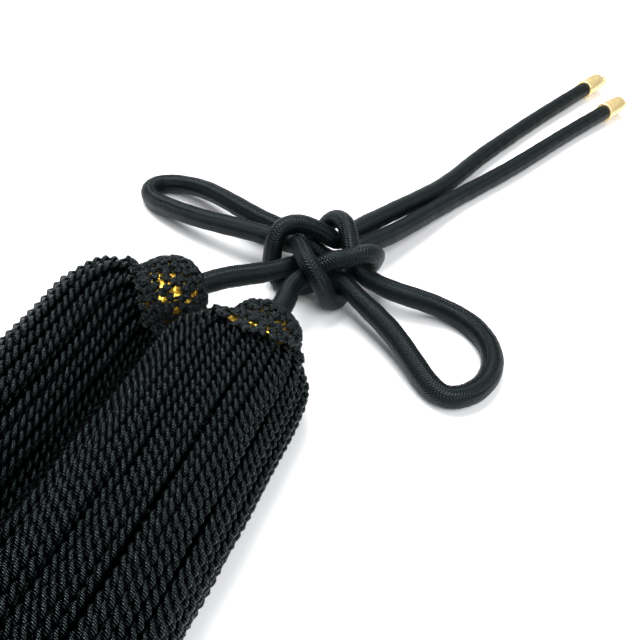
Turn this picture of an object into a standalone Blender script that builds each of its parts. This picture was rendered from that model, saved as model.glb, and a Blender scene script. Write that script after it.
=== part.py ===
"""Silk double tassel: two net-headed tassels on two braided cords tied in a two-loop knot.

The piece lies on a flat surface (z = 0). The camera side is -Y, the brass cord ends are
at +X +Y. Lengths in the tables are millimetres.
"""
import math

import bmesh
import bpy
import numpy as np
from mathutils import Matrix, Vector
from mathutils.geometry import delaunay_2d_cdt

MM = 0.001
GAP = 0.3                       # clear distance between neighbouring solids

# ---------------------------------------------------------------- cords
CORD_RADIUS = 3.0               # braided cord, free run
CORD_KNOT_RADIUS = 2.7          # the same cord where the knot squeezes it
KNOT_CENTRE = (-0.3, 150.8)
KNOT_HEADING = 50.0             # direction of the brass ends, seen from the knot (deg)
KNOT_TIGHT = 16.0               # squeezed inside this distance of the knot centre
KNOT_FREE = 21.0                # full size outside this one
CORD_BEVEL_RESOLUTION = 2

FLOOR_CLEARANCE = 0.05

# way points of each cord, from its brass end through the knot and round its side loop, back
# through the knot and on to its tassel
# run and loop, columns: x, y, z (mm)
LEFT_RUN = ((101, 294.6, 3.8), (75.4, 262.1, 3), (59.1, 239.8, 3), (51.1, 228.5, 3),
            (38.2, 208.1, 3.3), (24.8, 189.4, 5.9))
LEFT_LOOP = ((24, 122, 5.5), (35, 111.5, 3), (41, 114, 3), (47, 130, 3), (40, 140.5, 3),
             (25, 143.5, 6))
RIGHT_RUN = ((106.1, 275.5, 3.8), (88.9, 256, 3.1), (55.6, 216, 3), (39.3, 197.7, 3.4),
             (26.5, 180.6, 5.5))
RIGHT_LOOP = ((-36.5, 163.5, 7.5), (-53, 172, 4.5), (-59, 178, 3), (-60, 181, 3),
              (-58.5, 184, 3), (-51, 185, 4), (-37, 177.5, 7), (-21.5, 167, 8))
# knot, columns: across, along towards the brass ends, height (mm), from the knot's centre
LEFT_KNOT_IN = ((-4.5, 20.5, 9), (-4, 13.5, 9.5), (-4, 9.5, 9.5), (-7, 3, 14),
                (-11, -2.5, 16.5), (-12.5, -7.5, 15.5), (-11.5, -10.5, 10.5),
                (-10.5, -11.5, 6.5), (-7, -11.5, 3), (0.5, -7.5, 4.5), (7.5, -3, 8.5),
                (14, -3.5, 8.5), (22.5, -4, 7.5))
LEFT_KNOT_OUT = ((12, 4.5, 8.5), (7, 4, 11), (-1, 8.5, 15.5), (-8, 10.5, 14), (-10.5, 8, 8.5),
                 (-11.5, 4.5, 3.5), (-8.5, -3, 4), (-5.5, -8, 8), (-6.5, -16.5, 9.5),
                 (-11, -26.8, 10))
RIGHT_KNOT_IN = ((2, 19, 8), (2, 12.5, 9), (2.5, 7.5, 8), (7.5, -0.5, 3), (9.5, -7.5, 5),
                 (7, -11, 13.5), (3, -11, 16), (-2.5, -8, 15), (-6, -6, 13.5),
                 (-10.5, -4.5, 10.5), (-17.5, -6, 9.5))
RIGHT_KNOT_OUT = ((-16.5, 1, 8.5), (-9, 2, 8.5), (-5.5, 4, 5.5), (-3, 6.5, 4), (4.5, 10.5, 3),
                  (8, 10.5, 7.5), (9.5, 9.5, 11), (10.5, 6.5, 15), (7, -1, 15),
                  (4.5, -4.5, 13.5), (2.5, -8, 11), (2.5, -16, 10.5))
# columns: cord, run, knot in, loop, knot out, tassel
CORDS = (
    ('left', LEFT_RUN, LEFT_KNOT_IN, LEFT_LOOP, LEFT_KNOT_OUT, 'rear'),
    ('right', RIGHT_RUN, RIGHT_KNOT_IN, RIGHT_LOOP, RIGHT_KNOT_OUT, 'front'),
)
TAIL_STRAIGHT = 4.6             # the cord's last bit, in line with the tassel's head
CURVE_STEP = 0.5                # sampling of the smooth curve through the way points
CHORD_SAG = 0.2                 # how far the tube's straight bits may cut a bend
POINT_SPACING = (2.2, 14.0)     # least and greatest distance of the tube's points
# easing the crossings apart: rounds, clear distance, how close a cord may follow itself,
# share of each push taken, share of smoothing
EASE_ROUNDS, EASE_GAP, EASE_DONE, OWN_REACH = 400, 0.42, 0.36, 9.0
EASE_STEP, EASE_SMOOTH, EASE_LEAST = 0.8, 0.004, 0.6
SEGMENT_SAMPLES = 5

# ---------------------------------------------------------------- brass ends
CAP_STEPS = 20
# turned profile of a cord end: distance from the mouth, radius (mm)
CAP_PROFILE = ((0.0, 3.35), (0.25, 3.65), (1.6, 3.75), (2.1, 3.5), (11.2, 3.5), (12.4, 3.2),
               (12.9, 2.3))
EYE_RADIUS, EYE_WIRE = 2.1, 0.5
EYE_SINK = 1.0                  # how far the eye's centre line dips into the cap
RING_SIDE = 'left'              # the cord end that holds the jump ring
RING_RADIUS, RING_WIRE = 2.4, 0.45
RING_SEAT = 0.35                # where the ring's wire passes the eye, beyond its centre
RING_TURN, RING_DIP = math.radians(-22.0), math.radians(-40.0)
RING_SEGMENTS, WIRE_SEGMENTS = 20, 8

# ---------------------------------------------------------------- tassel heads
CORE_STEPS = 16
# turned profile of the foil-wrapped core: distance from the crown, radius (mm)
CORE_PROFILE = ((1.9, 3.6), (2.9, 5.8), (5.0, 7.6), (8.5, 8.35), (12.5, 8.0), (15.0, 7.2))
# netted cover: distance from the crown, outer radius, inner radius (mm)
NET_PROFILE = ((0.0, 3.3, 3.3), (0.9, 6.0, 5.0), (3.2, 8.4, 7.2), (6.2, 9.6, 8.4),
               (9.4, 9.8, 8.7), (12.6, 9.4, 8.4), (15.4, 8.7, 7.7))
NET_CROWN_INNER = 1.3           # thickness of the closed crown
NET_CELLS = 12                  # openings around the head
NET_OPENING = 0.48              # width of an opening, share of its diamond

# ---------------------------------------------------------------- tassel skirts
STRAND_RADIUS = 1.2             # three-sided strand, corner radius
CORNERS = tuple(math.radians(a) for a in (90.0, 210.0, 330.0))
STRAND_PITCH, ROW_PITCH = 2.6, 2.3
EDGE_INSET = 1.25               # outermost strands stand inside the outline by this many radii
SHOULDER_Z = 10.6               # height of the skirt axis
# section of the bundle: where it is widest, how much narrower it is on the surface
WIDEST_AT, UNDERCUT = 0.34, 0.08
BISECTIONS = 30
SKIRT_GAP = 0.5                 # between the rim of the netted cover and the shoulder
LEAN_Z = 8.0                    # height at which a leaning side has the stated half width
# columns: name, head crown x, y, z, head heading (deg), head length, skirt heading at start
#          and end (deg), turn length, sideways shift, half width, lean of the right and the
#          left side (mm for each mm of height), rows, length (mm)
TASSELS = (
    ('front', -11.3, 124.7, 10.8, 254.4, 12.0, 254.4, 253.4, 14.0, -1.9, 19.8, 0.26, 0.0,
     10, 112.0),
    ('rear', -32.9, 132.5, 10.3, 215.0, 15.4, 220.0, 254.0, 18.0, 0.4, 14.2, -0.2, -0.26,
     11, 112.0),
)
RIM_RADIUS = 9.0                # of the shoulder's flat back
RIM_POINTS = 28
RIM_PLAN = 1.1                  # radius of the rim on the flat plan of the shoulder
# root size, share of the distance to the next strand: in space, on the flat plan
ROOT_FILL, PLAN_FILL = 0.52, 0.45
# front of the shoulder: how far its middle stands ahead of the rim, and how round it is
SHOULDER_DEPTH, SHOULDER_POWER = 10.4, 1.8
FLARE_LENGTH = 10.5             # over which the strands spread to the full section
FLARE_LEAST = 6.5               # shortest run of the flare rings of one strand
# rings of a strand: over the flare, then along its straight run
FLARE_RINGS = (0.0, 0.36, 0.66, 1.0)
RUN_RINGS = (0.09, 0.5, 1.0)
RINGS = len(FLARE_RINGS) + len(RUN_RINGS)
GOLDEN = 0.6180339887           # spreads the ragged ends
TIP_SPREAD = -0.03              # change of the skirt's width towards the tips
TIP_RAGGED = 2.5                # strands end this much apart


def clear_scene():
    for ob in list(bpy.data.objects):
        bpy.data.objects.remove(ob, do_unlink=True)
    for block in (bpy.data.meshes, bpy.data.curves, bpy.data.materials):
        for item in list(block):
            block.remove(item)
    for col in list(bpy.data.collections):
        bpy.data.collections.remove(col)


def new_collection(name):
    col = bpy.data.collections.new(name)
    bpy.context.scene.collection.children.link(col)
    return col


def material(name, colour, metallic, roughness):
    mat = bpy.data.materials.new(name)
    mat.use_nodes = True
    bsdf = mat.node_tree.nodes['Principled BSDF']
    bsdf.inputs['Base Color'].default_value = (*colour, 1.0)
    bsdf.inputs['Metallic'].default_value = metallic
    bsdf.inputs['Roughness'].default_value = roughness
    return mat


def add_mesh(name, verts, faces, mat, col, smooth=True):
    mesh = bpy.data.meshes.new(name)
    mesh.from_pydata([tuple(v) for v in verts], [], faces)
    mesh.update()
    work = bmesh.new()
    work.from_mesh(mesh)
    bmesh.ops.recalc_face_normals(work, faces=work.faces)
    bmesh.ops.triangulate(work, faces=work.faces)
    if work.calc_volume(signed=True) < 0:
        bmesh.ops.reverse_faces(work, faces=work.faces)
    work.to_mesh(mesh)
    work.free()
    for poly in mesh.polygons:
        poly.use_smooth = smooth
    mesh.materials.append(mat)
    ob = bpy.data.objects.new(name, mesh)
    col.objects.link(ob)
    return ob


def bake(ob, name, mat, col):
    """Turn an object with modifiers or a curve into a plain mesh object."""
    bpy.context.view_layer.update()
    graph = bpy.context.evaluated_depsgraph_get()
    mesh = bpy.data.meshes.new_from_object(ob.evaluated_get(graph))
    work = bmesh.new()
    work.from_mesh(mesh)
    bmesh.ops.remove_doubles(work, verts=work.verts, dist=1e-6)
    bmesh.ops.recalc_face_normals(work, faces=work.faces)
    if work.calc_volume(signed=True) < 0:
        bmesh.ops.reverse_faces(work, faces=work.faces)
    work.to_mesh(mesh)
    work.free()
    for poly in mesh.polygons:
        poly.use_smooth = True
    mesh.materials.clear()
    mesh.materials.append(mat)
    out = bpy.data.objects.new(name, mesh)
    out.matrix_world = ob.matrix_world.copy()
    col.objects.link(out)
    bpy.data.objects.remove(ob, do_unlink=True)
    return out


def axis_frame(origin, forward):
    """Matrix with local +X along forward, local +Z up, at origin."""
    x = Vector(forward).normalized()
    y = Vector((0.0, 0.0, 1.0)).cross(x).normalized()
    z = x.cross(y)
    rot = Matrix((x, y, z)).transposed().to_4x4()
    return Matrix.Translation(Vector(origin)) @ rot


def heading_vector(degrees):
    return Vector((math.cos(math.radians(degrees)), math.sin(math.radians(degrees)), 0.0))


# ---------------------------------------------------------------- cords
def cubic_through(points):
    """Natural cubic curve through way points, sampled every CURVE_STEP mm or so."""
    p = np.array(points, float)
    run = np.concatenate(([0.0], np.cumsum(np.linalg.norm(np.diff(p, axis=0), axis=1))))
    gap = np.diff(run)
    n = len(p)
    system, right = np.eye(n), np.zeros((n, 3))
    for i in range(1, n - 1):
        system[i, i - 1:i + 2] = gap[i - 1], 2.0 * (gap[i - 1] + gap[i]), gap[i]
        right[i] = 6.0 * ((p[i + 1] - p[i]) / gap[i] - (p[i] - p[i - 1]) / gap[i - 1])
    bend = np.linalg.solve(system, right)
    out = []
    for i in range(n - 1):
        for t in np.arange(0.0, 1.0, CURVE_STEP / gap[i]):
            a, b = (1.0 - t) * gap[i], t * gap[i]
            out.append((bend[i] * a ** 3 + bend[i + 1] * b ** 3) / (6.0 * gap[i])
                       + (p[i] / gap[i] - bend[i] * gap[i] / 6.0) * a
                       + (p[i + 1] / gap[i] - bend[i + 1] * gap[i] / 6.0) * b)
    out.append(p[-1])
    return np.array(out)


def thin_out(curve):
    """Fewer points along the curve: close together where it bends, wide apart where it runs."""
    run = np.concatenate(([0.0], np.cumsum(np.linalg.norm(np.diff(curve, axis=0), axis=1))))
    reach = 3
    before, here, after = curve[:-2 * reach], curve[reach:-reach], curve[2 * reach:]
    a, b = here - before, after - here
    turn = np.arccos(np.clip((a * b).sum(1) / (np.linalg.norm(a, axis=1)
                                               * np.linalg.norm(b, axis=1)), -1.0, 1.0))
    bend = turn / np.linalg.norm(a, axis=1)
    bend = np.concatenate((bend[:1].repeat(reach), bend, bend[-1:].repeat(reach)))
    wide = np.array([bend[max(0, i - 8):i + 9].max() for i in range(len(bend))])
    space = np.clip(np.sqrt(8.0 * CHORD_SAG / np.maximum(wide, 1e-6)), *POINT_SPACING)
    count = np.concatenate(([0.0], np.cumsum(np.diff(run) / space[:-1])))
    stops = np.interp(np.linspace(0.0, count[-1], int(math.ceil(count[-1])) + 1), count, run)
    return np.array([[np.interp(s, run, curve[:, k]) for k in range(3)] for s in stops])


def samples_of(routes):
    """Points along every segment of every route, with where on its route each one stands."""
    spots, first, share, owner, along = [], [], [], [], []
    base = 0
    for number, route in enumerate(routes):
        run = np.concatenate(([0.0], np.cumsum(np.linalg.norm(np.diff(route, axis=0), axis=1))))
        for i in range(len(route) - 1):
            for t in np.arange(SEGMENT_SAMPLES) / SEGMENT_SAMPLES:
                spots.append(route[i] + (route[i + 1] - route[i]) * t)
                first.append(base + i)
                share.append(t)
                owner.append(number)
                along.append(run[i] + (run[i + 1] - run[i]) * t)
        base += len(route)
    return tuple(np.array(v) for v in (spots, first, share, owner, along))


def ease_apart(routes):
    """Push crossing cords off each other until they only just clear one another."""
    points = np.concatenate(routes)
    cuts = np.cumsum([len(r) for r in routes])[:-1]
    fixed = np.zeros(len(points), bool)
    for start, end in zip((0, *cuts), (*cuts, len(points))):
        fixed[[start, start + 1, end - 2, end - 1]] = True
    for _ in range(EASE_ROUNDS):
        spots, first, share, owner, along = samples_of(np.split(points, cuts))
        away = np.hypot(spots[:, 0] - KNOT_CENTRE[0], spots[:, 1] - KNOT_CENTRE[1])
        clear = np.where(away < KNOT_TIGHT + 1.0, 2.0 * CORD_KNOT_RADIUS + EASE_GAP,
                         2.0 * CORD_RADIUS + EASE_GAP)
        apart = np.linalg.norm(spots[:, None] - spots[None], axis=2)
        need = np.minimum(clear[:, None], clear[None])
        own = (owner[:, None] == owner[None]) & (abs(along[:, None] - along[None]) < OWN_REACH)
        near = (apart < need) & ~own
        if not (near & (apart < need - (EASE_GAP - EASE_DONE))).any():
            break
        a, b = np.nonzero(np.triu(near))
        lack = ((need[a, b] - apart[a, b]) / apart[a, b])[:, None] * (spots[a] - spots[b]) * 0.5
        push, weight = np.zeros_like(points), np.zeros(len(points))
        for who, sign in ((a, 1.0), (b, -1.0)):
            for step, part in ((0, 1.0 - share[who]), (1, share[who])):
                np.add.at(push, first[who] + step, sign * lack * part[:, None])
                np.add.at(weight, first[who] + step, part)
        push /= np.maximum(weight, EASE_LEAST)[:, None]
        push[fixed] = 0.0
        points = points + EASE_STEP * push
        middle = points.copy()
        for start, end in zip((0, *cuts), (*cuts, len(points))):
            q = points[start:end]
            middle[start + 1:end - 1] = 0.5 * (q[:-2] + q[2:])
        points = np.where(fixed[:, None], points, points + EASE_SMOOTH * (middle - points))
        low = np.where(np.hypot(points[:, 0] - KNOT_CENTRE[0], points[:, 1] - KNOT_CENTRE[1])
                       < KNOT_TIGHT, CORD_KNOT_RADIUS, CORD_RADIUS) + FLOOR_CLEARANCE
        points[:, 2] = np.maximum(points[:, 2], low)
    return np.split(points, cuts)


def lay_cords():
    """Centreline of each cord, by name."""
    along = heading_vector(KNOT_HEADING)
    across = heading_vector(KNOT_HEADING - 90.0)
    centre = Vector((*KNOT_CENTRE, 0.0))

    def in_knot(rows):
        return [centre + across * x + along * y + Vector((0.0, 0.0, z)) for x, y, z in rows]

    heads = {row[0]: (Vector(row[1:4]), heading_vector(row[4])) for row in TASSELS}
    routes = []
    for _, run, knot_in, loop, knot_out, tassel in CORDS:
        crown, forward = heads[tassel]
        end = crown - forward * GAP
        way = [*run, *in_knot(knot_in), *loop, *in_knot(knot_out), end - forward * TAIL_STRAIGHT,
               end]
        routes.append(thin_out(cubic_through([tuple(p) for p in way])))
    return dict(zip((row[0] for row in CORDS), ease_apart(routes)))


def build_cord(name, route, mat, col):
    curve = bpy.data.curves.new(name + '_curve', 'CURVE')
    curve.dimensions = '3D'
    curve.bevel_depth = CORD_RADIUS * MM
    curve.bevel_resolution = CORD_BEVEL_RESOLUTION
    curve.use_fill_caps = True
    curve.twist_mode = 'MINIMUM'
    spline = curve.splines.new('POLY')
    spline.points.add(len(route) - 1)
    squeeze = CORD_KNOT_RADIUS / CORD_RADIUS
    for point, (x, y, z) in zip(spline.points, route):
        away = math.hypot(x - KNOT_CENTRE[0], y - KNOT_CENTRE[1])
        share = min(1.0, max(0.0, (away - KNOT_TIGHT) / (KNOT_FREE - KNOT_TIGHT)))
        point.co = (x * MM, y * MM, z * MM, 1.0)
        point.radius = squeeze + (1.0 - squeeze) * share
    ob = bpy.data.objects.new(name + '_curve', curve)
    col.objects.link(ob)
    return bake(ob, name, mat, col)


# ---------------------------------------------------------------- metal ends and heads
def turned(name, profile, steps, mat, col):
    """Solid of revolution about local Z: profile rows are height, radius (mm)."""
    rows = [(0.0, 0.0, profile[0][0] * MM)]
    rows += [(radius * MM, 0.0, height * MM) for height, radius in profile]
    rows += [(0.0, 0.0, profile[-1][0] * MM)]
    mesh = bpy.data.meshes.new(name + '_profile')
    mesh.from_pydata(rows, [(i, i + 1) for i in range(len(rows) - 1)], [])
    ob = bpy.data.objects.new(name + '_profile', mesh)
    col.objects.link(ob)
    screw = ob.modifiers.new('turn', 'SCREW')
    screw.axis = 'Z'
    screw.angle = math.tau
    screw.steps = steps
    screw.render_steps = steps
    screw.use_merge_vertices = True
    screw.merge_threshold = 1e-5
    return bake(ob, name, mat, col)


def torus(name, major, minor, matrix, mat, col):
    """Ring about local Z, placed by the matrix."""
    bpy.ops.mesh.primitive_torus_add(major_segments=RING_SEGMENTS, minor_segments=WIRE_SEGMENTS,
                                     major_radius=major, minor_radius=minor)
    ob = bpy.context.object
    ob.data.transform(matrix)
    return bake(ob, name, mat, col)


def place(ob, matrix):
    """Move the mesh itself, so that the object's own transform stays neutral."""
    ob.data.transform(matrix @ ob.matrix_world)
    ob.matrix_world = Matrix.Identity(4)
    return ob


def build_cap(name, route, mat, col, cutters):
    """Brass end: a turned body with an eye joined on, in line with the cord's last run."""
    tip, behind = Vector(route[0]), Vector(route[1])
    forward = (tip - behind).normalized()
    frame = axis_frame((tip + forward * GAP) * MM, forward)
    to_axis = Matrix.Rotation(math.radians(90.0), 4, 'Y')
    body = place(turned(name, CAP_PROFILE, CAP_STEPS, mat, col), frame @ to_axis)
    eye_at = CAP_PROFILE[-1][0] + EYE_RADIUS - EYE_SINK
    upright = Matrix.Rotation(math.radians(90.0), 4, 'X')
    eye_frame = frame @ Matrix.Translation((eye_at * MM, 0.0, 0.0)) @ upright
    eye = torus(name + '_eye', EYE_RADIUS * MM, EYE_WIRE * MM, eye_frame, mat, cutters)
    union = body.modifiers.new('eye', 'BOOLEAN')
    union.operation = 'UNION'
    union.solver = 'EXACT'
    union.object = eye
    body = bake(body, name, mat, col)
    body.name = name
    bpy.data.objects.remove(eye, do_unlink=True)
    return frame, eye_at


def build_ring(name, frame, eye_at, mat, col):
    """Jump ring through the far cord end's eye, its outer side dipping to the surface."""
    through = eye_at + RING_SEAT
    away = Matrix.Rotation(RING_TURN, 4, 'Z') @ Matrix.Rotation(-RING_DIP, 4, 'Y')
    ring = (frame @ Matrix.Translation((through * MM, 0.0, 0.0)) @ away
            @ Matrix.Translation((RING_RADIUS * MM, 0.0, 0.0)))
    return torus(name, RING_RADIUS * MM, RING_WIRE * MM, ring, mat, col)


def build_core(name, frame, stretch, mat, col):
    to_axis = Matrix.Rotation(math.radians(90.0), 4, 'Y')
    profile = [(height * stretch, radius) for height, radius in CORE_PROFILE]
    return place(turned(name, profile, CORE_STEPS, mat, col), frame @ to_axis)


def build_net(name, frame, stretch, mat, col):
    """Cup-shaped netted cover with rows of diamond openings over the core."""
    verts, faces = [], []

    def point(row, cell, side):
        height, outer, inner = NET_PROFILE[row]
        radius = inner if side else outer
        if side:
            height = max(height, NET_CROWN_INNER)
        angle = math.tau * (cell + 0.5 * (row % 2)) / NET_CELLS
        return Vector((height * stretch, radius * math.cos(angle),
                       radius * math.sin(angle))) * MM

    def add(p):
        verts.append(frame @ p)
        return len(verts) - 1

    rows = len(NET_PROFILE)
    grid = [[[add(point(r, c, s)) for c in range(NET_CELLS)] for r in range(rows)]
            for s in (0, 1)]
    # crown, inside and out
    faces.append([grid[0][0][c] for c in range(NET_CELLS)])
    faces.append([grid[1][0][c] for c in reversed(range(NET_CELLS))])
    # open rim
    for c in range(NET_CELLS):
        d = (c + 1) % NET_CELLS
        faces.append((grid[0][-1][c], grid[0][-1][d], grid[1][-1][d], grid[1][-1][c]))

    def corner(s, r, c):
        return grid[s][r][c % NET_CELLS]

    for c in range(NET_CELLS):
        for s in (0, 1):
            # the triangles of the first and last band close the staggered rows
            for r in (0, rows - 1):
                near = 1 if r == 0 else rows - 2
                a, b = corner(s, r, c), corner(s, r, c + 1)
                m = corner(s, near, c if r % 2 == 0 else c + 1)
                faces.append((a, b, m))
    for r in range(1, rows - 1):
        for c in range(NET_CELLS):
            # diamond: top and bottom in the rows next door, left and right in this row
            left, right = c, c + 1
            mid = c if r % 2 == 0 else c + 1
            corners = [(r, left), (r - 1, mid), (r, right), (r + 1, mid)]
            ring = [[corner(s, *place_of) for place_of in corners] for s in (0, 1)]
            hole = []
            for s in (0, 1):
                pts = [frame.inverted() @ verts[i] for i in ring[s]]
                centre = sum(pts, Vector()) / len(pts)
                hole.append([add(centre + (p - centre) * NET_OPENING) for p in pts])
            for k in range(4):
                n = (k + 1) % 4
                faces.append((ring[0][k], ring[0][n], hole[0][n], hole[0][k]))
                faces.append((ring[1][k], ring[1][n], hole[1][n], hole[1][k]))
                faces.append((hole[0][k], hole[0][n], hole[1][n], hole[1][k]))
    return add_mesh(name, verts, faces, mat, col)


# ---------------------------------------------------------------- skirts
def shoulder_depth(share):
    """Distance ahead of the rim at which strands of this share leave the shoulder."""
    return SHOULDER_DEPTH * (1.0 - share ** SHOULDER_POWER)


class Skirt:
    """Geometry of one skirt: an axis on the surface plan and a section that grows along it."""

    def __init__(self, row):
        (_, crown_x, crown_y, _, head, head_length, self.start, self.end, self.turn, aside,
         self.half, *self.lean, self.rows, self.length) = row
        # the shoulder starts clear of the cover's rim, also on the inside of the bend
        radius = NET_PROFILE[-1][1]
        bend = math.radians(abs(self.start - head))
        away = heading_vector(head) * head_length + heading_vector(self.start + 90.0) * aside
        away += heading_vector(self.start) * (SKIRT_GAP + radius * math.sin(bend))
        self.origin = (crown_x + away.x, crown_y + away.y)
        self.top = 0.5 * STRAND_RADIUS + (self.rows - 1) * ROW_PITCH + STRAND_RADIUS
        step = CURVE_STEP
        self.table = [(0.0, *self.origin, self.start)]
        x, y, s = *self.origin, 0.0
        while s < self.length + TIP_RAGGED:
            share = min(1.0, (s + 0.5 * step) / self.turn)
            head = self.start + (self.end - self.start) * share
            x += step * math.cos(math.radians(head))
            y += step * math.sin(math.radians(head))
            s += step
            self.table.append((s, x, y, head))
        self.table = np.array(self.table)

    def axis(self, s):
        """Point of the skirt's middle line on the surface, and its heading there."""
        run, x, y, head = self.table.T
        return Vector((np.interp(s, run, x), np.interp(s, run, y), 0.0)), np.interp(s, run, head)

    def spread(self, s):
        return 1.0 + TIP_SPREAD * min(1.0, max(0.0, s / self.length))

    def at(self, s, lateral, height):
        centre, head = self.axis(s)
        left = heading_vector(head + 90.0)
        return centre + left * (lateral * self.spread(s)) + Vector((0.0, 0.0, height))

    def half_at(self, height, side):
        """Reach of one side at one height: widest low down, round on top, and it may lean."""
        low = WIDEST_AT * self.top
        lean = self.lean[side > 0.0] * (height - LEAN_Z)
        if height > low:
            reach = 1.0 - ((height - low) / (self.top - low + STRAND_RADIUS)) ** 2
            return self.half * math.sqrt(max(0.0, reach)) + lean
        return self.half * (1.0 - UNDERCUT * ((low - height) / low) ** 2) + lean

    def edge(self, angle):
        """Distance from the section's middle to its outline in one direction."""
        low, high = 0.0, 2.0 * self.half
        for _ in range(BISECTIONS):
            mid = 0.5 * (low + high)
            x = mid * math.cos(angle)
            z = SHOULDER_Z + mid * math.sin(angle)
            inside = 0.0 <= z <= self.top and abs(x) <= self.half_at(z, x)
            low, high = (mid, high) if inside else (low, mid)
        return low

    def strands(self):
        """Middle of each strand in the section: lateral, height."""
        spots = []
        for row in range(self.rows):
            z = 0.5 * STRAND_RADIUS + row * ROW_PITCH
            offset = 0.5 * (row % 2)
            count = int(self.half / STRAND_PITCH) + 2
            for k in range(-count, count + 1):
                x = (k + offset) * STRAND_PITCH
                reach = self.half_at(z + 0.5 * STRAND_RADIUS, x) - EDGE_INSET * STRAND_RADIUS
                if abs(x) <= reach:
                    spots.append((x, z))
        return spots

    def reach(self, s, share, angle):
        """Distance from the axis of a strand that stands at this share of the section."""
        flare = math.sin(0.5 * math.pi * min(1.0, max(0.0, s / FLARE_LENGTH)))
        return share * (RIM_RADIUS + (self.edge(angle) - RIM_RADIUS) * flare)

    def point(self, s, share, angle):
        out = self.reach(s, share, angle)
        return self.at(s, out * math.cos(angle), SHOULDER_Z + out * math.sin(angle))

    def shoulder(self, share, angle):
        """Point of the shoulder's front, where the strands of this share leave it."""
        return self.point(shoulder_depth(share), share, angle)

    def slope(self, share, angle):
        """Outward normal of the shoulder there, and how its surface follows the flat plan."""
        step = 1e-3
        here = self.shoulder(share, angle)
        plan = (share * math.cos(angle), share * math.sin(angle))
        sides = []
        for u, v in ((plan[0] + step, plan[1]), (plan[0], plan[1] + step)):
            there = self.shoulder(math.hypot(u, v), math.atan2(v, u))
            sides.append((there - here) / step)
        normal = sides[0].cross(sides[1]).normalized()
        outward = here - self.at(0.0, 0.0, SHOULDER_Z)
        return (normal if normal.dot(outward) > 0.0 else -normal), sides


def strand_line(skirt, x, z, number):
    """Centreline of one strand: out of the shoulder, over the flare, and down to its tip."""
    angle = math.atan2(z - SHOULDER_Z, x)
    share = math.hypot(x, z - SHOULDER_Z) / skirt.edge(angle)
    start = shoulder_depth(share)
    tip = skirt.length + TIP_RAGGED * (math.modf(number * GOLDEN)[0] - 0.5)
    settled = max(FLARE_LENGTH, start + FLARE_LEAST)
    stations = [start + (settled - start) * t for t in FLARE_RINGS]
    stations += [settled + (tip - settled) * t for t in RUN_RINGS]
    return [skirt.point(s, share, angle) for s in stations], share, angle


def root_of(corner):
    """Vertex number of one corner of the roots."""
    return corner // 3 * 3 * RINGS + corner % 3


def root_plan(skirt, lines, path, verts):
    """Root corners on the flat plan of the shoulder, kept clear of their neighbours."""
    middles = np.array([(share * math.cos(angle), share * math.sin(angle))
                        for _, share, angle in lines])
    plan, edges = [], []
    for i, (_, share, angle) in enumerate(lines):
        slope = np.array(skirt.slope(share, angle)[1]).T
        offsets = []
        for j in range(3):
            out = np.array(verts[root_of(3 * i + j)]) / MM - path[i, 0]
            offsets.append(np.linalg.lstsq(slope, out, rcond=None)[0])
        gaps = np.hypot(*(middles - middles[i]).T)
        gaps[i] = math.inf
        room = min(PLAN_FILL * gaps.min(), 2.0 * PLAN_FILL * (RIM_PLAN - share))
        shrink = min(1.0, room / max(np.hypot(*o) for o in offsets))
        plan += [Vector(middles[i] + o * shrink) for o in offsets]
        edges += [(3 * i, 3 * i + 1), (3 * i + 1, 3 * i + 2), (3 * i + 2, 3 * i)]
    return plan, edges


def build_skirt(name, row, mat, col):
    skirt = Skirt(row)
    lines = [strand_line(skirt, x, z, n) for n, (x, z) in enumerate(skirt.strands())]
    count = len(lines)
    path = np.array([[tuple(p) for p in line[0]] for line in lines])
    # radius at each ring: full, or less where the neighbours crowd the roots
    radius = np.full((count, RINGS), STRAND_RADIUS)
    for k in range(len(FLARE_RINGS) - 1):
        for i in range(count):
            gap = np.linalg.norm(path[:, k] - path[i, k], axis=1)
            gap[i] = math.inf
            radius[i, k] = min(STRAND_RADIUS, ROOT_FILL * (gap.min() - GAP))
    verts, faces = [], []
    for i, (_, share, angle) in enumerate(lines):
        first = len(verts)
        up, rings = Vector((0.0, 0.0, 1.0)), []
        for k in reversed(range(RINGS)):
            if k == 0:
                run = skirt.slope(share, angle)[0]
            else:
                before = k if k == len(FLARE_RINGS) - 1 else k - 1
                run = Vector(path[i, min(k + 1, RINGS - 1)] - path[i, before]).normalized()
            up = (up - run * up.dot(run)).normalized()
            side = up.cross(run)
            for a in CORNERS:
                offset = side * math.cos(a) + up * math.sin(a)
                rings.append((Vector(path[i, k]) + offset * radius[i, k]) * MM)
        for k in reversed(range(RINGS)):
            verts += rings[3 * k:3 * k + 3]
        for k in range(RINGS - 1):
            for j in range(3):
                n = (j + 1) % 3
                a, b = first + 3 * k, first + 3 * k + 3
                faces.append((a + j, a + n, b + n, b + j))
        tip = first + 3 * (RINGS - 1)
        faces.append((tip, tip + 1, tip + 2))
    plan, edges = root_plan(skirt, lines, path, verts)
    rim = []
    for k in range(RIM_POINTS):
        turn = math.tau * k / RIM_POINTS
        verts.append(skirt.shoulder(1.0, turn) * MM)
        rim.append(len(verts) - 1)
        plan.append(Vector((math.cos(turn), math.sin(turn))) * RIM_PLAN)
    base = 3 * count
    ids = [root_of(i) for i in range(base)] + rim
    edges += [(base + k, base + (k + 1) % RIM_POINTS) for k in range(RIM_POINTS)]
    _, _, out_faces, origins, _, _ = delaunay_2d_cdt(plan, edges, [], 0, 1e-7)
    for face in out_faces:
        corners = [origins[v][0] for v in face]
        owners = {c // 3 if c < base else -1 - c for c in corners}
        if len(owners) > 1:
            faces.append([ids[c] for c in corners])
    # flat back of the shoulder, behind the head
    faces.append(list(reversed(rim)))
    return add_mesh(name, verts, faces, mat, col, smooth=False)


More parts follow.
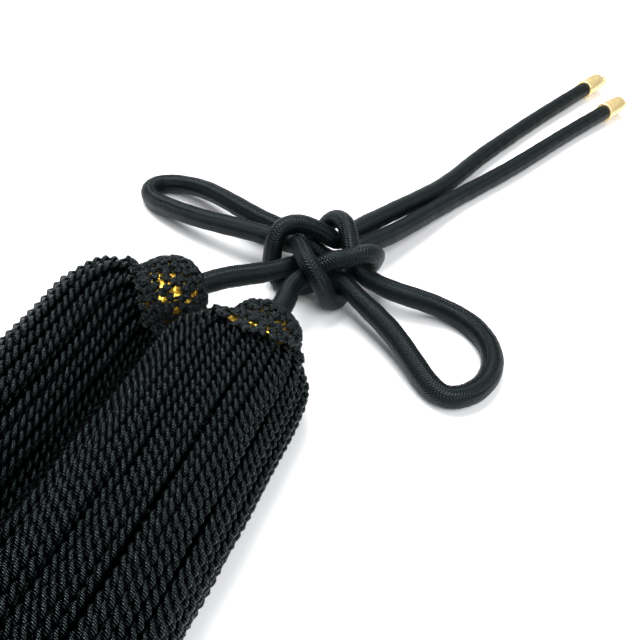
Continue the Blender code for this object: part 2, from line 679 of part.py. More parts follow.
def centre_tassels(col):
    """Move everything so that the two tassels' box stands with its middle at the origin."""
    heads = [ob for ob in col.objects if ob.name.startswith(('net', 'core', 'skirt'))]
    points = [v.co for ob in heads for v in ob.data.vertices]
    low = [min(p[i] for p in points) for i in (0, 1)]
    high = [max(p[i] for p in points) for i in (0, 1)]
    shift = Vector((-0.5 * (low[0] + high[0]), -0.5 * (low[1] + high[1]), 0.0))
    for ob in col.objects:
        ob.data.transform(Matrix.Translation(shift))


def main():
    clear_scene()
    col = new_collection('silk_double_tassel')
    cutters = new_collection('cutters')
    cutters.hide_render = True
    silk = material('silk_strand_black', (0.012, 0.012, 0.014), 0.0, 0.55)
    braid = material('cord_braid_black', (0.016, 0.016, 0.018), 0.0, 0.6)
    net = material('net_cord_black', (0.012, 0.012, 0.014), 0.0, 0.6)
    foil = material('core_foil_gold', (0.85, 0.58, 0.12), 1.0, 0.3)
    brass = material('brass_polished', (0.86, 0.65, 0.30), 1.0, 0.22)

    for side, route in lay_cords().items():
        build_cord('cord_' + side, route, braid, col)
        frame, eye_at = build_cap('cord_end_' + side, route, brass, col, cutters)
        if side == RING_SIDE:
            build_ring('jump_ring', frame, eye_at, brass, col)
    for row in TASSELS:
        name, x, y, z, heading, length = row[:6]
        frame = axis_frame(Vector((x, y, z)) * MM, heading_vector(heading))
        stretch = length / NET_PROFILE[-1][0]
        build_net('net_' + name, frame, stretch, net, col)
        build_core('core_' + name, frame, stretch, foil, col)
        build_skirt('skirt_' + name, row, silk, col)
    bpy.data.collections.remove(cutters)
    centre_tassels(col)


main()
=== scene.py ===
"""Look of the silk double tassel: twisted strands, knotted nets, braided cords, brass ends."""

import math

import bpy
import numpy as np
from mathutils import Matrix, Vector


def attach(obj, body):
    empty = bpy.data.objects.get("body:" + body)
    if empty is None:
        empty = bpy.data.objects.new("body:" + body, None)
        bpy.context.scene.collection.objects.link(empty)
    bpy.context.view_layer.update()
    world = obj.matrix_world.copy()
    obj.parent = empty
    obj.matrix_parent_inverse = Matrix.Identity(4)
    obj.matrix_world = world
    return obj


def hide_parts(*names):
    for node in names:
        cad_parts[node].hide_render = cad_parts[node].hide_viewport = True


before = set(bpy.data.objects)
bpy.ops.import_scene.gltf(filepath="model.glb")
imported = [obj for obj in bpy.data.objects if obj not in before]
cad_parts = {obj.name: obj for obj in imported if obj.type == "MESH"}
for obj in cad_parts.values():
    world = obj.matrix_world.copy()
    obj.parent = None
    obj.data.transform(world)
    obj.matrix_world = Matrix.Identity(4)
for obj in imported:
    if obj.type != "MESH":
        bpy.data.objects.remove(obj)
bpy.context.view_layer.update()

MM = 0.001
# the drawing's zero point in the part's frame (mm)
SHIFT = np.array([48.1067, -68.7843, 0.0])

# ---------------------------------------------------------------- camera
CAMERA_HEIGHT = 137.03
CAMERA_LENS = 38.64
CAMERA_PITCH, CAMERA_ROLL = 45.3, 7.7

# ---------------------------------------------------------------- cords, as in the part
GAP = 0.3
CORD_RADIUS, CORD_KNOT_RADIUS = 3.0, 2.7
KNOT_CENTRE, KNOT_HEADING = (-0.3, 150.8), 50.0
KNOT_TIGHT, KNOT_FREE = 16.0, 21.0
FLOOR_CLEARANCE = 0.05
LEFT_RUN = ((101, 294.6, 3.8), (75.4, 262.1, 3), (59.1, 239.8, 3), (51.1, 228.5, 3),
            (38.2, 208.1, 3.3), (24.8, 189.4, 5.9))
LEFT_LOOP = ((24, 122, 5.5), (35, 111.5, 3), (41, 114, 3), (47, 130, 3), (40, 140.5, 3),
             (25, 143.5, 6))
RIGHT_RUN = ((106.1, 275.5, 3.8), (88.9, 256, 3.1), (55.6, 216, 3), (39.3, 197.7, 3.4),
             (26.5, 180.6, 5.5))
RIGHT_LOOP = ((-36.5, 163.5, 7.5), (-53, 172, 4.5), (-59, 178, 3), (-60, 181, 3),
              (-58.5, 184, 3), (-51, 185, 4), (-37, 177.5, 7), (-21.5, 167, 8))
LEFT_KNOT_IN = ((-4.5, 20.5, 9), (-4, 13.5, 9.5), (-4, 9.5, 9.5), (-7, 3, 14),
                (-11, -2.5, 16.5), (-12.5, -7.5, 15.5), (-11.5, -10.5, 10.5),
                (-10.5, -11.5, 6.5), (-7, -11.5, 3), (0.5, -7.5, 4.5), (7.5, -3, 8.5),
                (14, -3.5, 8.5), (22.5, -4, 7.5))
LEFT_KNOT_OUT = ((12, 4.5, 8.5), (7, 4, 11), (-1, 8.5, 15.5), (-8, 10.5, 14), (-10.5, 8, 8.5),
                 (-11.5, 4.5, 3.5), (-8.5, -3, 4), (-5.5, -8, 8), (-6.5, -16.5, 9.5),
                 (-11, -26.8, 10))
RIGHT_KNOT_IN = ((2, 19, 8), (2, 12.5, 9), (2.5, 7.5, 8), (7.5, -0.5, 3), (9.5, -7.5, 5),
                 (7, -11, 13.5), (3, -11, 16), (-2.5, -8, 15), (-6, -6, 13.5),
                 (-10.5, -4.5, 10.5), (-17.5, -6, 9.5))
RIGHT_KNOT_OUT = ((-16.5, 1, 8.5), (-9, 2, 8.5), (-5.5, 4, 5.5), (-3, 6.5, 4), (4.5, 10.5, 3),
                  (8, 10.5, 7.5), (9.5, 9.5, 11), (10.5, 6.5, 15), (7, -1, 15),
                  (4.5, -4.5, 13.5), (2.5, -8, 11), (2.5, -16, 10.5))
CORDS = (
    ('left', LEFT_RUN, LEFT_KNOT_IN, LEFT_LOOP, LEFT_KNOT_OUT, 'rear'),
    ('right', RIGHT_RUN, RIGHT_KNOT_IN, RIGHT_LOOP, RIGHT_KNOT_OUT, 'front'),
)
TAIL_STRAIGHT = 4.6
CURVE_STEP, CHORD_SAG, POINT_SPACING = 0.5, 0.2, (2.2, 14.0)
THIN_REACH, THIN_LOOK, LEAST_BEND = 3, 8, 1e-6
EASE_ROUNDS, EASE_GAP, EASE_DONE, OWN_REACH = 400, 0.42, 0.36, 9.0
EASE_STEP, EASE_SMOOTH, EASE_LEAST = 0.8, 0.004, 0.6
SEGMENT_SAMPLES, KNOT_MARGIN = 5, 1.0

# ---------------------------------------------------------------- heads and skirts
NET_PROFILE = ((0.0, 3.3), (0.9, 6.0), (3.2, 8.4), (6.2, 9.6), (9.4, 9.8), (12.6, 9.4),
               (15.4, 8.7))
STRAND_RADIUS = 1.2
ROW_PITCH = 2.3
SHOULDER_Z = 10.6
WIDEST_AT, UNDERCUT = 0.34, 0.08
SKIRT_GAP = 0.5
LEAN_Z, EDGE_ROUNDS = 8.0, 30
# name, crown (mm), heading (deg) and length of the head, the skirt's headings at its start and
# end (deg), how long it turns, shift aside, half width, lean of each side, rows, length (mm)
TASSELS = (
    ('front', -11.3, 124.7, 10.8, 254.4, 12.0, 254.4, 253.4, 14.0, -1.9, 19.8, 0.26, 0.0,
     10, 112.0),
    ('rear', -32.9, 132.5, 10.3, 215.0, 15.4, 220.0, 254.0, 18.0, 0.4, 14.2, -0.2, -0.26,
     11, 112.0),
)
TIP_SPREAD = -0.03
TIP_RAGGED = 2.5

# ---------------------------------------------------------------- looks of cords and ends (mm)
CORD_SIDES, CORD_STEP, CORD_INSIDE = 32, 0.55, 3.5
CORD_CURVE, PATH_EVERY = 0.35, 4
# slow unevenness of the thickness: size, its two wavelengths, and where it begins (rad)
CORD_UNEVEN, CORD_WAVES, CORD_PHASE = 0.06, (23.0, 9.1), 1.0
BRAID_LAY, BRAID_YARNS, BRAID_RELIEF, BRAID_LEVEL = 2.2, 8, 0.05, 0.3
BRAID_COLUMNS, BRAID_RIB, BRAID_LEAN = 14.0, 0.72, 0.9
CAP_LENGTH, CAP_SIDES = 12.9, 56
# height and radius of the turned cap, from its mouth to its closed end
CAP_PROFILE = ((0.0, 3.05), (0.0, 3.45), (0.12, 3.62), (0.4, 3.74), (1.2, 3.75), (1.6, 3.7),
               (1.8, 3.52), (1.95, 3.4), (2.15, 3.4), (2.3, 3.5), (11.0, 3.5), (11.6, 3.44),
               (12.1, 3.3), (12.5, 3.05), (12.75, 2.75), (12.9, 2.3), (12.95, 1.2))
EYE_RADIUS, EYE_WIRE, EYE_SINK, EYE_STEPS = 2.1, 0.5, 1.0, 48
RING_RADIUS, RING_WIRE, RING_SEAT, RING_STEPS = 2.4, 0.45, 0.35, 64
RING_TURN, RING_DIP, WIRE_SIDES = math.radians(-22.0), math.radians(-40.0), 14
TURNED_ROUND, WIRE_ROUND, FOIL_ROUND = 20.0, 3.0, 50.0  # map width round a piece

# ---------------------------------------------------------------- looks of the nets (mm)
HEAD_RADIUS = 9.8
NET_FIRST, NET_ROW, NET_SPACING, NET_GRID, NET_TURNS = 0.5, 1.9, 2.25, 0.25, 180
# depth under the solid net; how far the cover stands over the strands, at the head and rim
NET_INSET, NET_OVER, NET_RIM_OVER = 0.55, 2.1, 0.95
OVER_BY, OVER_LEAN = 1.2, 0.3  # over the shoulder (rad)
NET_SWEEP, NET_DOWN = (0.15, 1.4, 10), (0.0, 2.0, 4.0, 6.0)
NET_LINE, NET_BACK = 0.3, {'front': 2.4, 'rear': 0.0}
PRESSED = 0.15  # flat on the floor
CAPE_LENGTH = {'front': 9.5, 'rear': 6.2}
# direction (deg), least share and width (rad) of the part that reaches furthest down
CAPE_SHAPE = {'front': (78.0, 0.4, 0.85), 'rear': (50.0, 0.45, 0.95)}
CAPE_EDGE = 0.4
KNOT_SIZE, KNOT_LIFT, KNOT_CORE, KNOT_CORD = 1.3, 0.1, 0.62, 0.36
# loops laid over a knot: how many, size, how far they bow out, rise and lie aside
LOOPS, LOOP_SIZE, LOOP_OUT, LOOP_RISE, LOOP_ASIDE = 3, 0.55, 0.45, 0.5, 0.15
LOOP_ENDS, LOOP_POINTS, LOOP_STRAY, LOOP_STEP, LOOP_LAY = 1.9, 7, 0.2, 0.4, 1.9
KNOT_STEPS, KNOT_AHEAD = (7, 4), 0.4
KNOT_STRAY, KNOT_TURN, KNOT_UNEVEN = 0.16, 0.02, (0.85, 1.15)
TIE_CORD, TIE_UNEVEN, TIE_LONGEST, TIE_STEP, TIE_LAY = 0.42, (0.9, 1.15), 3.2, 0.7, 2.2
TIE_POINTS, FINE_SIDES, ANY_PHASE, LEAST_GAP = 4, 6, 6.0, 0.05
CROSSED_AT, CROSSED_SHARE = (0.25, 0.5, 0.75), 0.9
# two turns of yarn round the cord: place, first radius past the cord, spacing, thickness
CROWN_AT, CROWN_STEP, CROWN_OUT, CROWN_SPACE = 0.45, 0.1, 0.3, 0.8
CROWN_WIRE, CROWN_STEPS, CROWN_SIDES = 0.55, 40, 8
# where the foil shows through the net: from the crown (mm), way round (deg), radius (mm)
OPENINGS = {
    'front': ((18.6, 112.0, 0.9), (18.6, 88.0, 0.8), (17.2, 132.0, 0.8), (20.8, 100.0, 0.95),
              (20.6, 78.0, 1.0), (19.6, 60.0, 0.95), (20.4, 46.0, 1.0), (17.4, 70.0, 0.6)),
    'rear': ((14.4, 80.0, 0.6), (11.5, 74.0, 0.8), (14.7, 63.0, 0.9), (12.3, 46.0, 1.5),
             (15.7, 38.0, 0.95), (9.5, 25.0, 0.95), (13.2, 14.0, 1.15), (8.7, 355.0, 0.7)),
}
FOIL_ROWS, FOIL_SIDES, FOIL_START, FOIL_SHORT = 36, 72, 1.9, 1.8
# crumpling: size, share in every second column, highest ridge, unevenness along
FOIL_CRUSH, FOIL_CALM, FOIL_RIDGE, FOIL_STRAY, FOIL_UNDER = 0.16, 0.4, 0.25, 0.12, 0.85

# ---------------------------------------------------------------- looks of the strands (mm)
PLY_RADIUS, PLY_OFFSET, PLY_CROWD = 0.66, 0.57, 0.22  # two plies side by side
PLY_ROUND = 7.2  # way round both plies
LAY = 4.7  # one full turn of the plies
POLE = 0.12  # cut off a ball's poles (rad)
LAYERS, UPPER_FROM = 4, 3.0
OUTER_PITCH, INNER_PITCH, UNEVEN_PITCH = 2.15, 3.0, 0.3
RIM_ANGLES, RIM_ROUNDS, RIM_LEAST = 360, 6, 0.4
LAYER_FIRST, LAYER_DEPTH = 1.24, 2.0
SHOULDER_LONG, SHOULDER_STEP, SHOULDER_RIM, SHOULDER_IN = 8.5, 1.9, 7.8, 0.2
SHOULDER_RISE, RISE_LONG = {'front': 0.4, 'rear': 1.6}, 11.0
PLUMP = {'front': (100.0, 0.4), 'rear': (100.0, 2.6)}  # direction (deg), size
ROOT_HIDDEN, SWEEP_POINTS, STRAND_STEP = -2.0, 14, 0.8
# under the net the strands crowd together, every second one lower, and rise along the skirt
CROWD_SINK, CROWD_IN, CROWD_DIVE = 1.3, 0.7, 0.7
CROWD_FROM, CROWD_LONG, CROWD_POWER = 1.0, 13.0, 1.4
SUNKEN, SUNKEN_BY, LOOSE_BY = 0.5, 12.0, 25.0
CLUMP_SIZE, CLUMP_PITCH, CLUMP_DIP, CLUMP_DRIFT = 0.35, 9.0, 0.3, 0.04
WANDER, WANDER_WAVES = 0.35, (31.0, 47.0, 23.0)
WANDER_UP, WANDER_UP_WAVES, WANDER_SHARE = 0.25, (27.0, 43.0), (0.3, 1.0)
LOWEST, GOLDEN = 1.24, 0.618034
STRAND_UNEVEN = (0.93, 1.07)
# step along a strand (mm) and points round it
DETAIL = {'upper': (0.5, 12), 'side': (0.65, 10), 'inner': (0.9, 8)}
DEEP_LAYER, DEEP_DETAIL = 2, (2.4, 6)

# ---------------------------------------------------------------- materials and light
COOL = (0.8, 0.97, 1.0, 1.0)  # tint of the gloss on black yarn
# the second tuple weighs the yarn's colour: threads (painted shade between them), grain and clouds
# (a random tone)
YARN_BUMP, YARN_SHADE_AND_TONE = (1.2, 0.9), (0.35, 0.35, 0.3)  # threads, grain, clouds
# the last number is the share of the colour left in the grooves between the plies: painted shade
YARN_RELIEF, YARN_GROOVE_SHADE = (0.8, 0.14), 0.2
YARN_GLOSS, GLINT_POWER, GLOSS_LEAST = 0.3, 1.7, 0.02
YARN_GRAIN, YARN_CLOUDS, YARN_ROUGH, YARN_RANGE = (2600.0, 3.0), 110.0, (0.24, 0.04), (0.12, 0.62)
# the second tuple weighs the cord's colour: ribs (painted shade in their valleys and between the
# columns), grain and clouds (a random tone)
BRAID_BUMP, BRAID_SHADE_AND_TONE = (1.0, 0.7), (0.55, 0.25, 0.2)  # ribs, grain, clouds
BRAID_DEPTH, BRAID_FLAT, BRAID_GLOSS = (0.9, 0.16), 0.4, 0.2
BRAID_GRAIN, BRAID_CLOUDS, BRAID_ROUGH, BRAID_RANGE = (2300.0, 3.0), 80.0, (0.42, 0.05), (0.2, 0.75)
BRAID_DARK, BRAID_LIGHT = (0.0002, 0.0005, 0.0006), (0.003, 0.0062, 0.0073)
SWING = (0.3, 0.7)  # range of a noise that is used
METAL_DETAIL, METAL_SWING = 4.0, 0.05
FLOOR_SIZE, FLOOR_COLOURS = 4.0, ((0.86, 0.87, 0.88), (0.89, 0.89, 0.9))
FLOOR_CLOUDS, FLOOR_GRAIN, FLOOR_ROUGH = 4.0, 30.0, (0.8, 0.03)
SENSOR, CLIP = 36.0, 0.01
# name, place (m), size (m), power (W)
LIGHTS = (
    ('key', (-0.25, 0.42, 0.85), 0.62, 15.5),
    ('fill', (0.4, -0.35, 0.75), 0.7, 8.0),
)
WORLD_COLOUR, WORLD_STRENGTH = (0.95, 0.97, 1.0, 1.0), 0.3

random = np.random.default_rng(11)


# ---------------------------------------------------------------- shared geometry
def heading_vector(degrees):
    return np.array([math.cos(math.radians(degrees)), math.sin(math.radians(degrees)), 0.0])


def length_along(path):
    return np.concatenate(([0.0], np.cumsum(np.linalg.norm(np.diff(path, axis=0), axis=1))))


def cubic_through(points, step=CURVE_STEP):
    """Natural cubic curve through the points, in even steps."""
    p = np.array(points, float)
    run = length_along(p)
    gap = np.diff(run)
    n = len(p)
    system, right = np.eye(n), np.zeros((n, 3))
    for i in range(1, n - 1):
        system[i, i - 1:i + 2] = gap[i - 1], 2.0 * (gap[i - 1] + gap[i]), gap[i]
        right[i] = 6.0 * ((p[i + 1] - p[i]) / gap[i] - (p[i] - p[i - 1]) / gap[i - 1])
    bend = np.linalg.solve(system, right)
    out = []
    for i in range(n - 1):
        for t in np.arange(0.0, 1.0, step / gap[i]):
            a, b = (1.0 - t) * gap[i], t * gap[i]
            out.append((bend[i] * a ** 3 + bend[i + 1] * b ** 3) / (6.0 * gap[i])
                       + (p[i] / gap[i] - bend[i] * gap[i] / 6.0) * a
                       + (p[i + 1] / gap[i] - bend[i + 1] * gap[i] / 6.0) * b)
    out.append(p[-1])
    return np.array(out)


def thin_out(curve):
    """Fewer points on a curve, close together only where it bends."""
    run = length_along(curve)
    reach = THIN_REACH
    before, here, after = curve[:-2 * reach], curve[reach:-reach], curve[2 * reach:]
    a, b = here - before, after - here
    turn = np.arccos(np.clip((a * b).sum(1) / (np.linalg.norm(a, axis=1)
                                               * np.linalg.norm(b, axis=1)), -1.0, 1.0))
    bend = turn / np.linalg.norm(a, axis=1)
    bend = np.concatenate((bend[:1].repeat(reach), bend, bend[-1:].repeat(reach)))
    wide = np.array([bend[max(0, i - THIN_LOOK):i + THIN_LOOK + 1].max()
                     for i in range(len(bend))])
    space = np.clip(np.sqrt(8.0 * CHORD_SAG / np.maximum(wide, LEAST_BEND)), *POINT_SPACING)
    count = np.concatenate(([0.0], np.cumsum(np.diff(run) / space[:-1])))
    stops = np.interp(np.linspace(0.0, count[-1], int(math.ceil(count[-1])) + 1), count, run)
    return np.array([[np.interp(s, run, curve[:, k]) for k in range(3)] for s in stops])


def samples_of(routes):
    """Points along all routes, with their segment, share of it, route and length along."""
    spots, first, share, owner, along = [], [], [], [], []
    base = 0
    for number, route in enumerate(routes):
        run = length_along(route)
        for i in range(len(route) - 1):
            for t in np.arange(SEGMENT_SAMPLES) / SEGMENT_SAMPLES:
                spots.append(route[i] + (route[i + 1] - route[i]) * t)
                first.append(base + i)
                share.append(t)
                owner.append(number)
                along.append(run[i] + (run[i + 1] - run[i]) * t)
        base += len(route)
    return tuple(np.array(v) for v in (spots, first, share, owner, along))


def ease_apart(routes):
    """Pushes crossing cords off each other until they only just clear one another."""
    points = np.concatenate(routes)
    cuts = np.cumsum([len(r) for r in routes])[:-1]
    fixed = np.zeros(len(points), bool)
    for start, end in zip((0, *cuts), (*cuts, len(points))):
        fixed[[start, start + 1, end - 2, end - 1]] = True
    for _ in range(EASE_ROUNDS):
        spots, first, share, owner, along = samples_of(np.split(points, cuts))
        away = np.hypot(spots[:, 0] - KNOT_CENTRE[0], spots[:, 1] - KNOT_CENTRE[1])
        clear = np.where(away < KNOT_TIGHT + KNOT_MARGIN, 2.0 * CORD_KNOT_RADIUS + EASE_GAP,
                         2.0 * CORD_RADIUS + EASE_GAP)
        apart = np.linalg.norm(spots[:, None] - spots[None], axis=2)
        need = np.minimum(clear[:, None], clear[None])
        own = (owner[:, None] == owner[None]) & (abs(along[:, None] - along[None]) < OWN_REACH)
        near = (apart < need) & ~own
        if not (near & (apart < need - (EASE_GAP - EASE_DONE))).any():
            break
        a, b = np.nonzero(np.triu(near))
        lack = ((need[a, b] - apart[a, b]) / apart[a, b])[:, None] * (spots[a] - spots[b]) * 0.5
        push, weight = np.zeros_like(points), np.zeros(len(points))
        for who, sign in ((a, 1.0), (b, -1.0)):
            for step, part in ((0, 1.0 - share[who]), (1, share[who])):
                np.add.at(push, first[who] + step, sign * lack * part[:, None])
                np.add.at(weight, first[who] + step, part)
        push /= np.maximum(weight, EASE_LEAST)[:, None]
        push[fixed] = 0.0
        points = points + EASE_STEP * push
        middle = points.copy()
        for start, end in zip((0, *cuts), (*cuts, len(points))):
            q = points[start:end]
            middle[start + 1:end - 1] = 0.5 * (q[:-2] + q[2:])
        points = np.where(fixed[:, None], points, points + EASE_SMOOTH * (middle - points))
        low = np.where(np.hypot(points[:, 0] - KNOT_CENTRE[0], points[:, 1] - KNOT_CENTRE[1])
                       < KNOT_TIGHT, CORD_KNOT_RADIUS, CORD_RADIUS) + FLOOR_CLEARANCE
        points[:, 2] = np.maximum(points[:, 2], low)
    return np.split(points, cuts)


def lay_cords():
    """Route of each cord: from its brass end, through the knot and its loop, to a crown."""
    along, across = heading_vector(KNOT_HEADING), heading_vector(KNOT_HEADING - 90.0)
    centre = np.array([*KNOT_CENTRE, 0.0])

    def in_knot(rows):
        return [centre + across * x + along * y + np.array([0.0, 0.0, z]) for x, y, z in rows]

    heads = {row[0]: (np.array(row[1:4]), heading_vector(row[4])) for row in TASSELS}
    routes = []
    for _, run, knot_in, loop, knot_out, tassel in CORDS:
        crown, forward = heads[tassel]
        end = crown - forward * GAP
        way = [*run, *in_knot(knot_in), *loop, *in_knot(knot_out), end - forward * TAIL_STRAIGHT,
               end]
        routes.append(thin_out(cubic_through([tuple(p) for p in way])))
    return dict(zip((row[0] for row in CORDS), ease_apart(routes)))


class Skirt:
    """Middle line of a skirt and the outline of its section, as in the part."""

    def __init__(self, row):
        (self.name, crown_x, crown_y, _, head, head_length, self.start, self.end, self.turn,
         aside, self.half, *self.lean, self.rows, self.length) = row
        radius = NET_PROFILE[-1][1]
        bend = math.radians(abs(self.start - head))
        away = heading_vector(head) * head_length + heading_vector(self.start + 90.0) * aside
        away = away + heading_vector(self.start) * (SKIRT_GAP + radius * math.sin(bend))
        x, y, s = crown_x + away[0], crown_y + away[1], 0.0
        self.top = 0.5 * STRAND_RADIUS + (self.rows - 1) * ROW_PITCH + STRAND_RADIUS
        rows = [(0.0, x, y, self.start)]
        while s < self.length + TIP_RAGGED:
            share = min(1.0, (s + 0.5 * CURVE_STEP) / self.turn)
            way = math.radians(self.start + (self.end - self.start) * share)
            x += CURVE_STEP * math.cos(way)
            y += CURVE_STEP * math.sin(way)
            s += CURVE_STEP
            rows.append((s, x, y, math.degrees(way)))
        self.table = np.array(rows)

    def at(self, s, lateral, height):
        """Point at a length along the skirt, sideways of its middle and over the floor."""
        run, x, y, way = self.table.T
        way = np.radians(np.interp(s, run, way))
        ahead = np.minimum(s, 0.0)
        wide = lateral * (1.0 + TIP_SPREAD * np.clip(s / self.length, 0.0, 1.0))
        return np.stack([np.interp(s, run, x) - np.sin(way) * wide + np.cos(way) * ahead,
                         np.interp(s, run, y) + np.cos(way) * wide + np.sin(way) * ahead,
                         height + 0.0 * s], axis=-1)

    def half_at(self, height, side):
        """Half width of the section at a height, on one side."""
        low = WIDEST_AT * self.top
        lean = self.lean[side > 0.0] * (height - LEAN_Z)
        if height > low:
            reach = 1.0 - ((height - low) / (self.top - low + STRAND_RADIUS)) ** 2
            return self.half * math.sqrt(max(0.0, reach)) + lean
        return self.half * (1.0 - UNDERCUT * ((low - height) / low) ** 2) + lean

    def edge(self, angle):
        """From the middle of the section to its outline in one direction."""
        low, high = 0.0, 2.0 * self.half
        for _ in range(EDGE_ROUNDS):
            mid = 0.5 * (low + high)
            x, z = mid * math.cos(angle), SHOULDER_Z + mid * math.sin(angle)
            inside = 0.0 <= z <= self.top and abs(x) <= self.half_at(z, x)
            low, high = (mid, high) if inside else (low, mid)
        return low

    def layer(self, depth, pitch):
        """Evenly spaced middles of the strands that lie at one depth under the outline."""
        angles = np.arange(RIM_ANGLES) * math.tau / RIM_ANGLES
        edge = np.array([self.edge(a) for a in angles])
        rim = np.stack([edge * np.cos(angles), edge * np.sin(angles)], -1)
        for _ in range(RIM_ROUNDS):
            rim = 0.5 * rim + 0.25 * (np.roll(rim, 1, 0) + np.roll(rim, -1, 0))
        tangent = np.roll(rim, -1, 0) - np.roll(rim, 1, 0)
        tangent /= np.linalg.norm(tangent, axis=1)[:, None]
        inner = rim + depth * np.stack([-tangent[:, 1], tangent[:, 0]], -1)
        inner = inner[np.hypot(*inner.T) > RIM_LEAST]
        closed = np.concatenate([inner, inner[:1]])
        run = length_along(closed)
        count = max(3, int(round(run[-1] / pitch)))
        stops = (np.arange(count) + random.random()) * run[-1] / count
        stops = np.mod(stops + random.uniform(-UNEVEN_PITCH, UNEVEN_PITCH, count), run[-1])
        return [(np.interp(s, run, closed[:, 0]), np.interp(s, run, closed[:, 1]))
                for s in stops]


# ---------------------------------------------------------------- mesh helpers
class Heap:
    """Collects vertices, faces and map coordinates of one piece."""

    def __init__(self):
        self.verts, self.faces, self.uvs, self.count = [], [], [], 0

    def grid(self, rings, u, v, cap=True):
        """rings: n x m x 3 closed round; u: n values along, v: m + 1 values round (mm)."""
        n, m = rings.shape[:2]
        base = self.count
        self.verts.append(rings.reshape(-1, 3))
        self.count += n * m
        i, j = np.meshgrid(np.arange(n - 1), np.arange(m), indexing='ij')
        k = (j + 1) % m
        a, b = base + i * m + j, base + i * m + k
        c, d = base + (i + 1) * m + k, base + (i + 1) * m + j
        self.faces += np.stack([a, b, c, d], -1).reshape(-1, 4).tolist()
        un, vn = np.broadcast_to(u[i], i.shape), v[j]
        um, vm = u[i + 1], v[j + 1]
        self.uvs.append(np.stack([np.stack([un, vn], -1), np.stack([un, vm], -1),
                                  np.stack([um, vm], -1), np.stack([um, vn], -1)],
                                 -2).reshape(-1, 2))
        if cap:
            for ring, flip in ((0, True), (n - 1, False)):
                ids = (base + ring * m + np.arange(m)).tolist()
                self.faces.append(ids[::-1] if flip else ids)
                uv = np.stack([np.full(m, u[ring]), v[:m]], -1)
                self.uvs.append(uv[::-1] if flip else uv)

    def ball(self, centre, axes, steps=(8, 6)):
        """Ellipsoid; axes: 3 x 3 rows are its half axes."""
        m, n = steps
        lat = np.linspace(-0.5 * math.pi, 0.5 * math.pi, n + 1)
        lat[0] += POLE
        lat[-1] -= POLE
        lon = np.arange(m) * math.tau / m
        unit = np.stack([np.cos(lat)[:, None] * np.cos(lon), np.cos(lat)[:, None] * np.sin(lon),
                         np.sin(lat)[:, None] + 0.0 * lon], -1)
        rings = centre + unit @ axes
        size = np.linalg.norm(axes, axis=1).max()
        self.grid(rings, lat * size, np.arange(m + 1) / m * math.tau * size)

    def build(self, name, mat, slot, smooth=True):
        """Makes the piece in the part's frame, in metres."""
        verts = (np.concatenate(self.verts) + SHIFT) * MM
        mesh = bpy.data.meshes.new(name)
        mesh.from_pydata(verts.tolist(), [], self.faces)
        layer = mesh.uv_layers.new(name='weave')
        layer.data.foreach_set('uv', np.concatenate(self.uvs).ravel())
        mesh.polygons.foreach_set('use_smooth', [smooth] * len(mesh.polygons))
        mesh.materials.append(mat)
        mesh.update()
        ob = bpy.data.objects.new(name, mesh)
        bpy.context.scene.collection.objects.link(ob)
        return ob


def directions(path):
    """Unit directions along a path."""
    d = np.gradient(path, axis=0)
    return d / np.linalg.norm(d, axis=1)[:, None]


def carried_frames(path):
    """Two cross directions at each point, carried along without twist."""
    a = np.array((0.0, 0.0, 1.0))
    first, second = [], []
    for d in directions(path):
        a = a - d * (a @ d)
        a /= np.linalg.norm(a)
        first.append(a)
        second.append(np.cross(d, a))
    return np.array(first), np.array(second)


def resample(path, step):
    """The same path in even steps."""
    run = length_along(path)
    stops = np.linspace(0.0, run[-1], max(2, int(round(run[-1] / step)) + 1))
    return np.stack([np.interp(stops, run, path[:, k]) for k in range(3)], -1)


def two_ply(heap, path, step, sides, scale=1.0, phase=0.0, lay=LAY):
    """Strand of two plies laid round each other: a figure-eight section that turns."""
    path = resample(path, step)
    a, b = carried_frames(path)
    run = length_along(path)
    turn = phase - math.tau * run / lay
    phi = np.arange(sides) * math.tau / sides
    sharp = phi + PLY_CROWD * np.sin(2.0 * phi)     # more points where the plies meet
    c = np.abs(np.cos(sharp)) * PLY_OFFSET
    inner = np.maximum(PLY_RADIUS ** 2 - (PLY_OFFSET * np.sin(sharp)) ** 2, 0.0)
    radius = (c + np.sqrt(inner)) * scale
    angle = sharp[None] + turn[:, None]
    x, y = radius * np.cos(angle), radius * np.sin(angle)
    rings = path[:, None] + a[:, None] * x[..., None] + b[:, None] * y[..., None]
    heap.grid(rings, run, np.arange(sides + 1) / sides * PLY_ROUND)


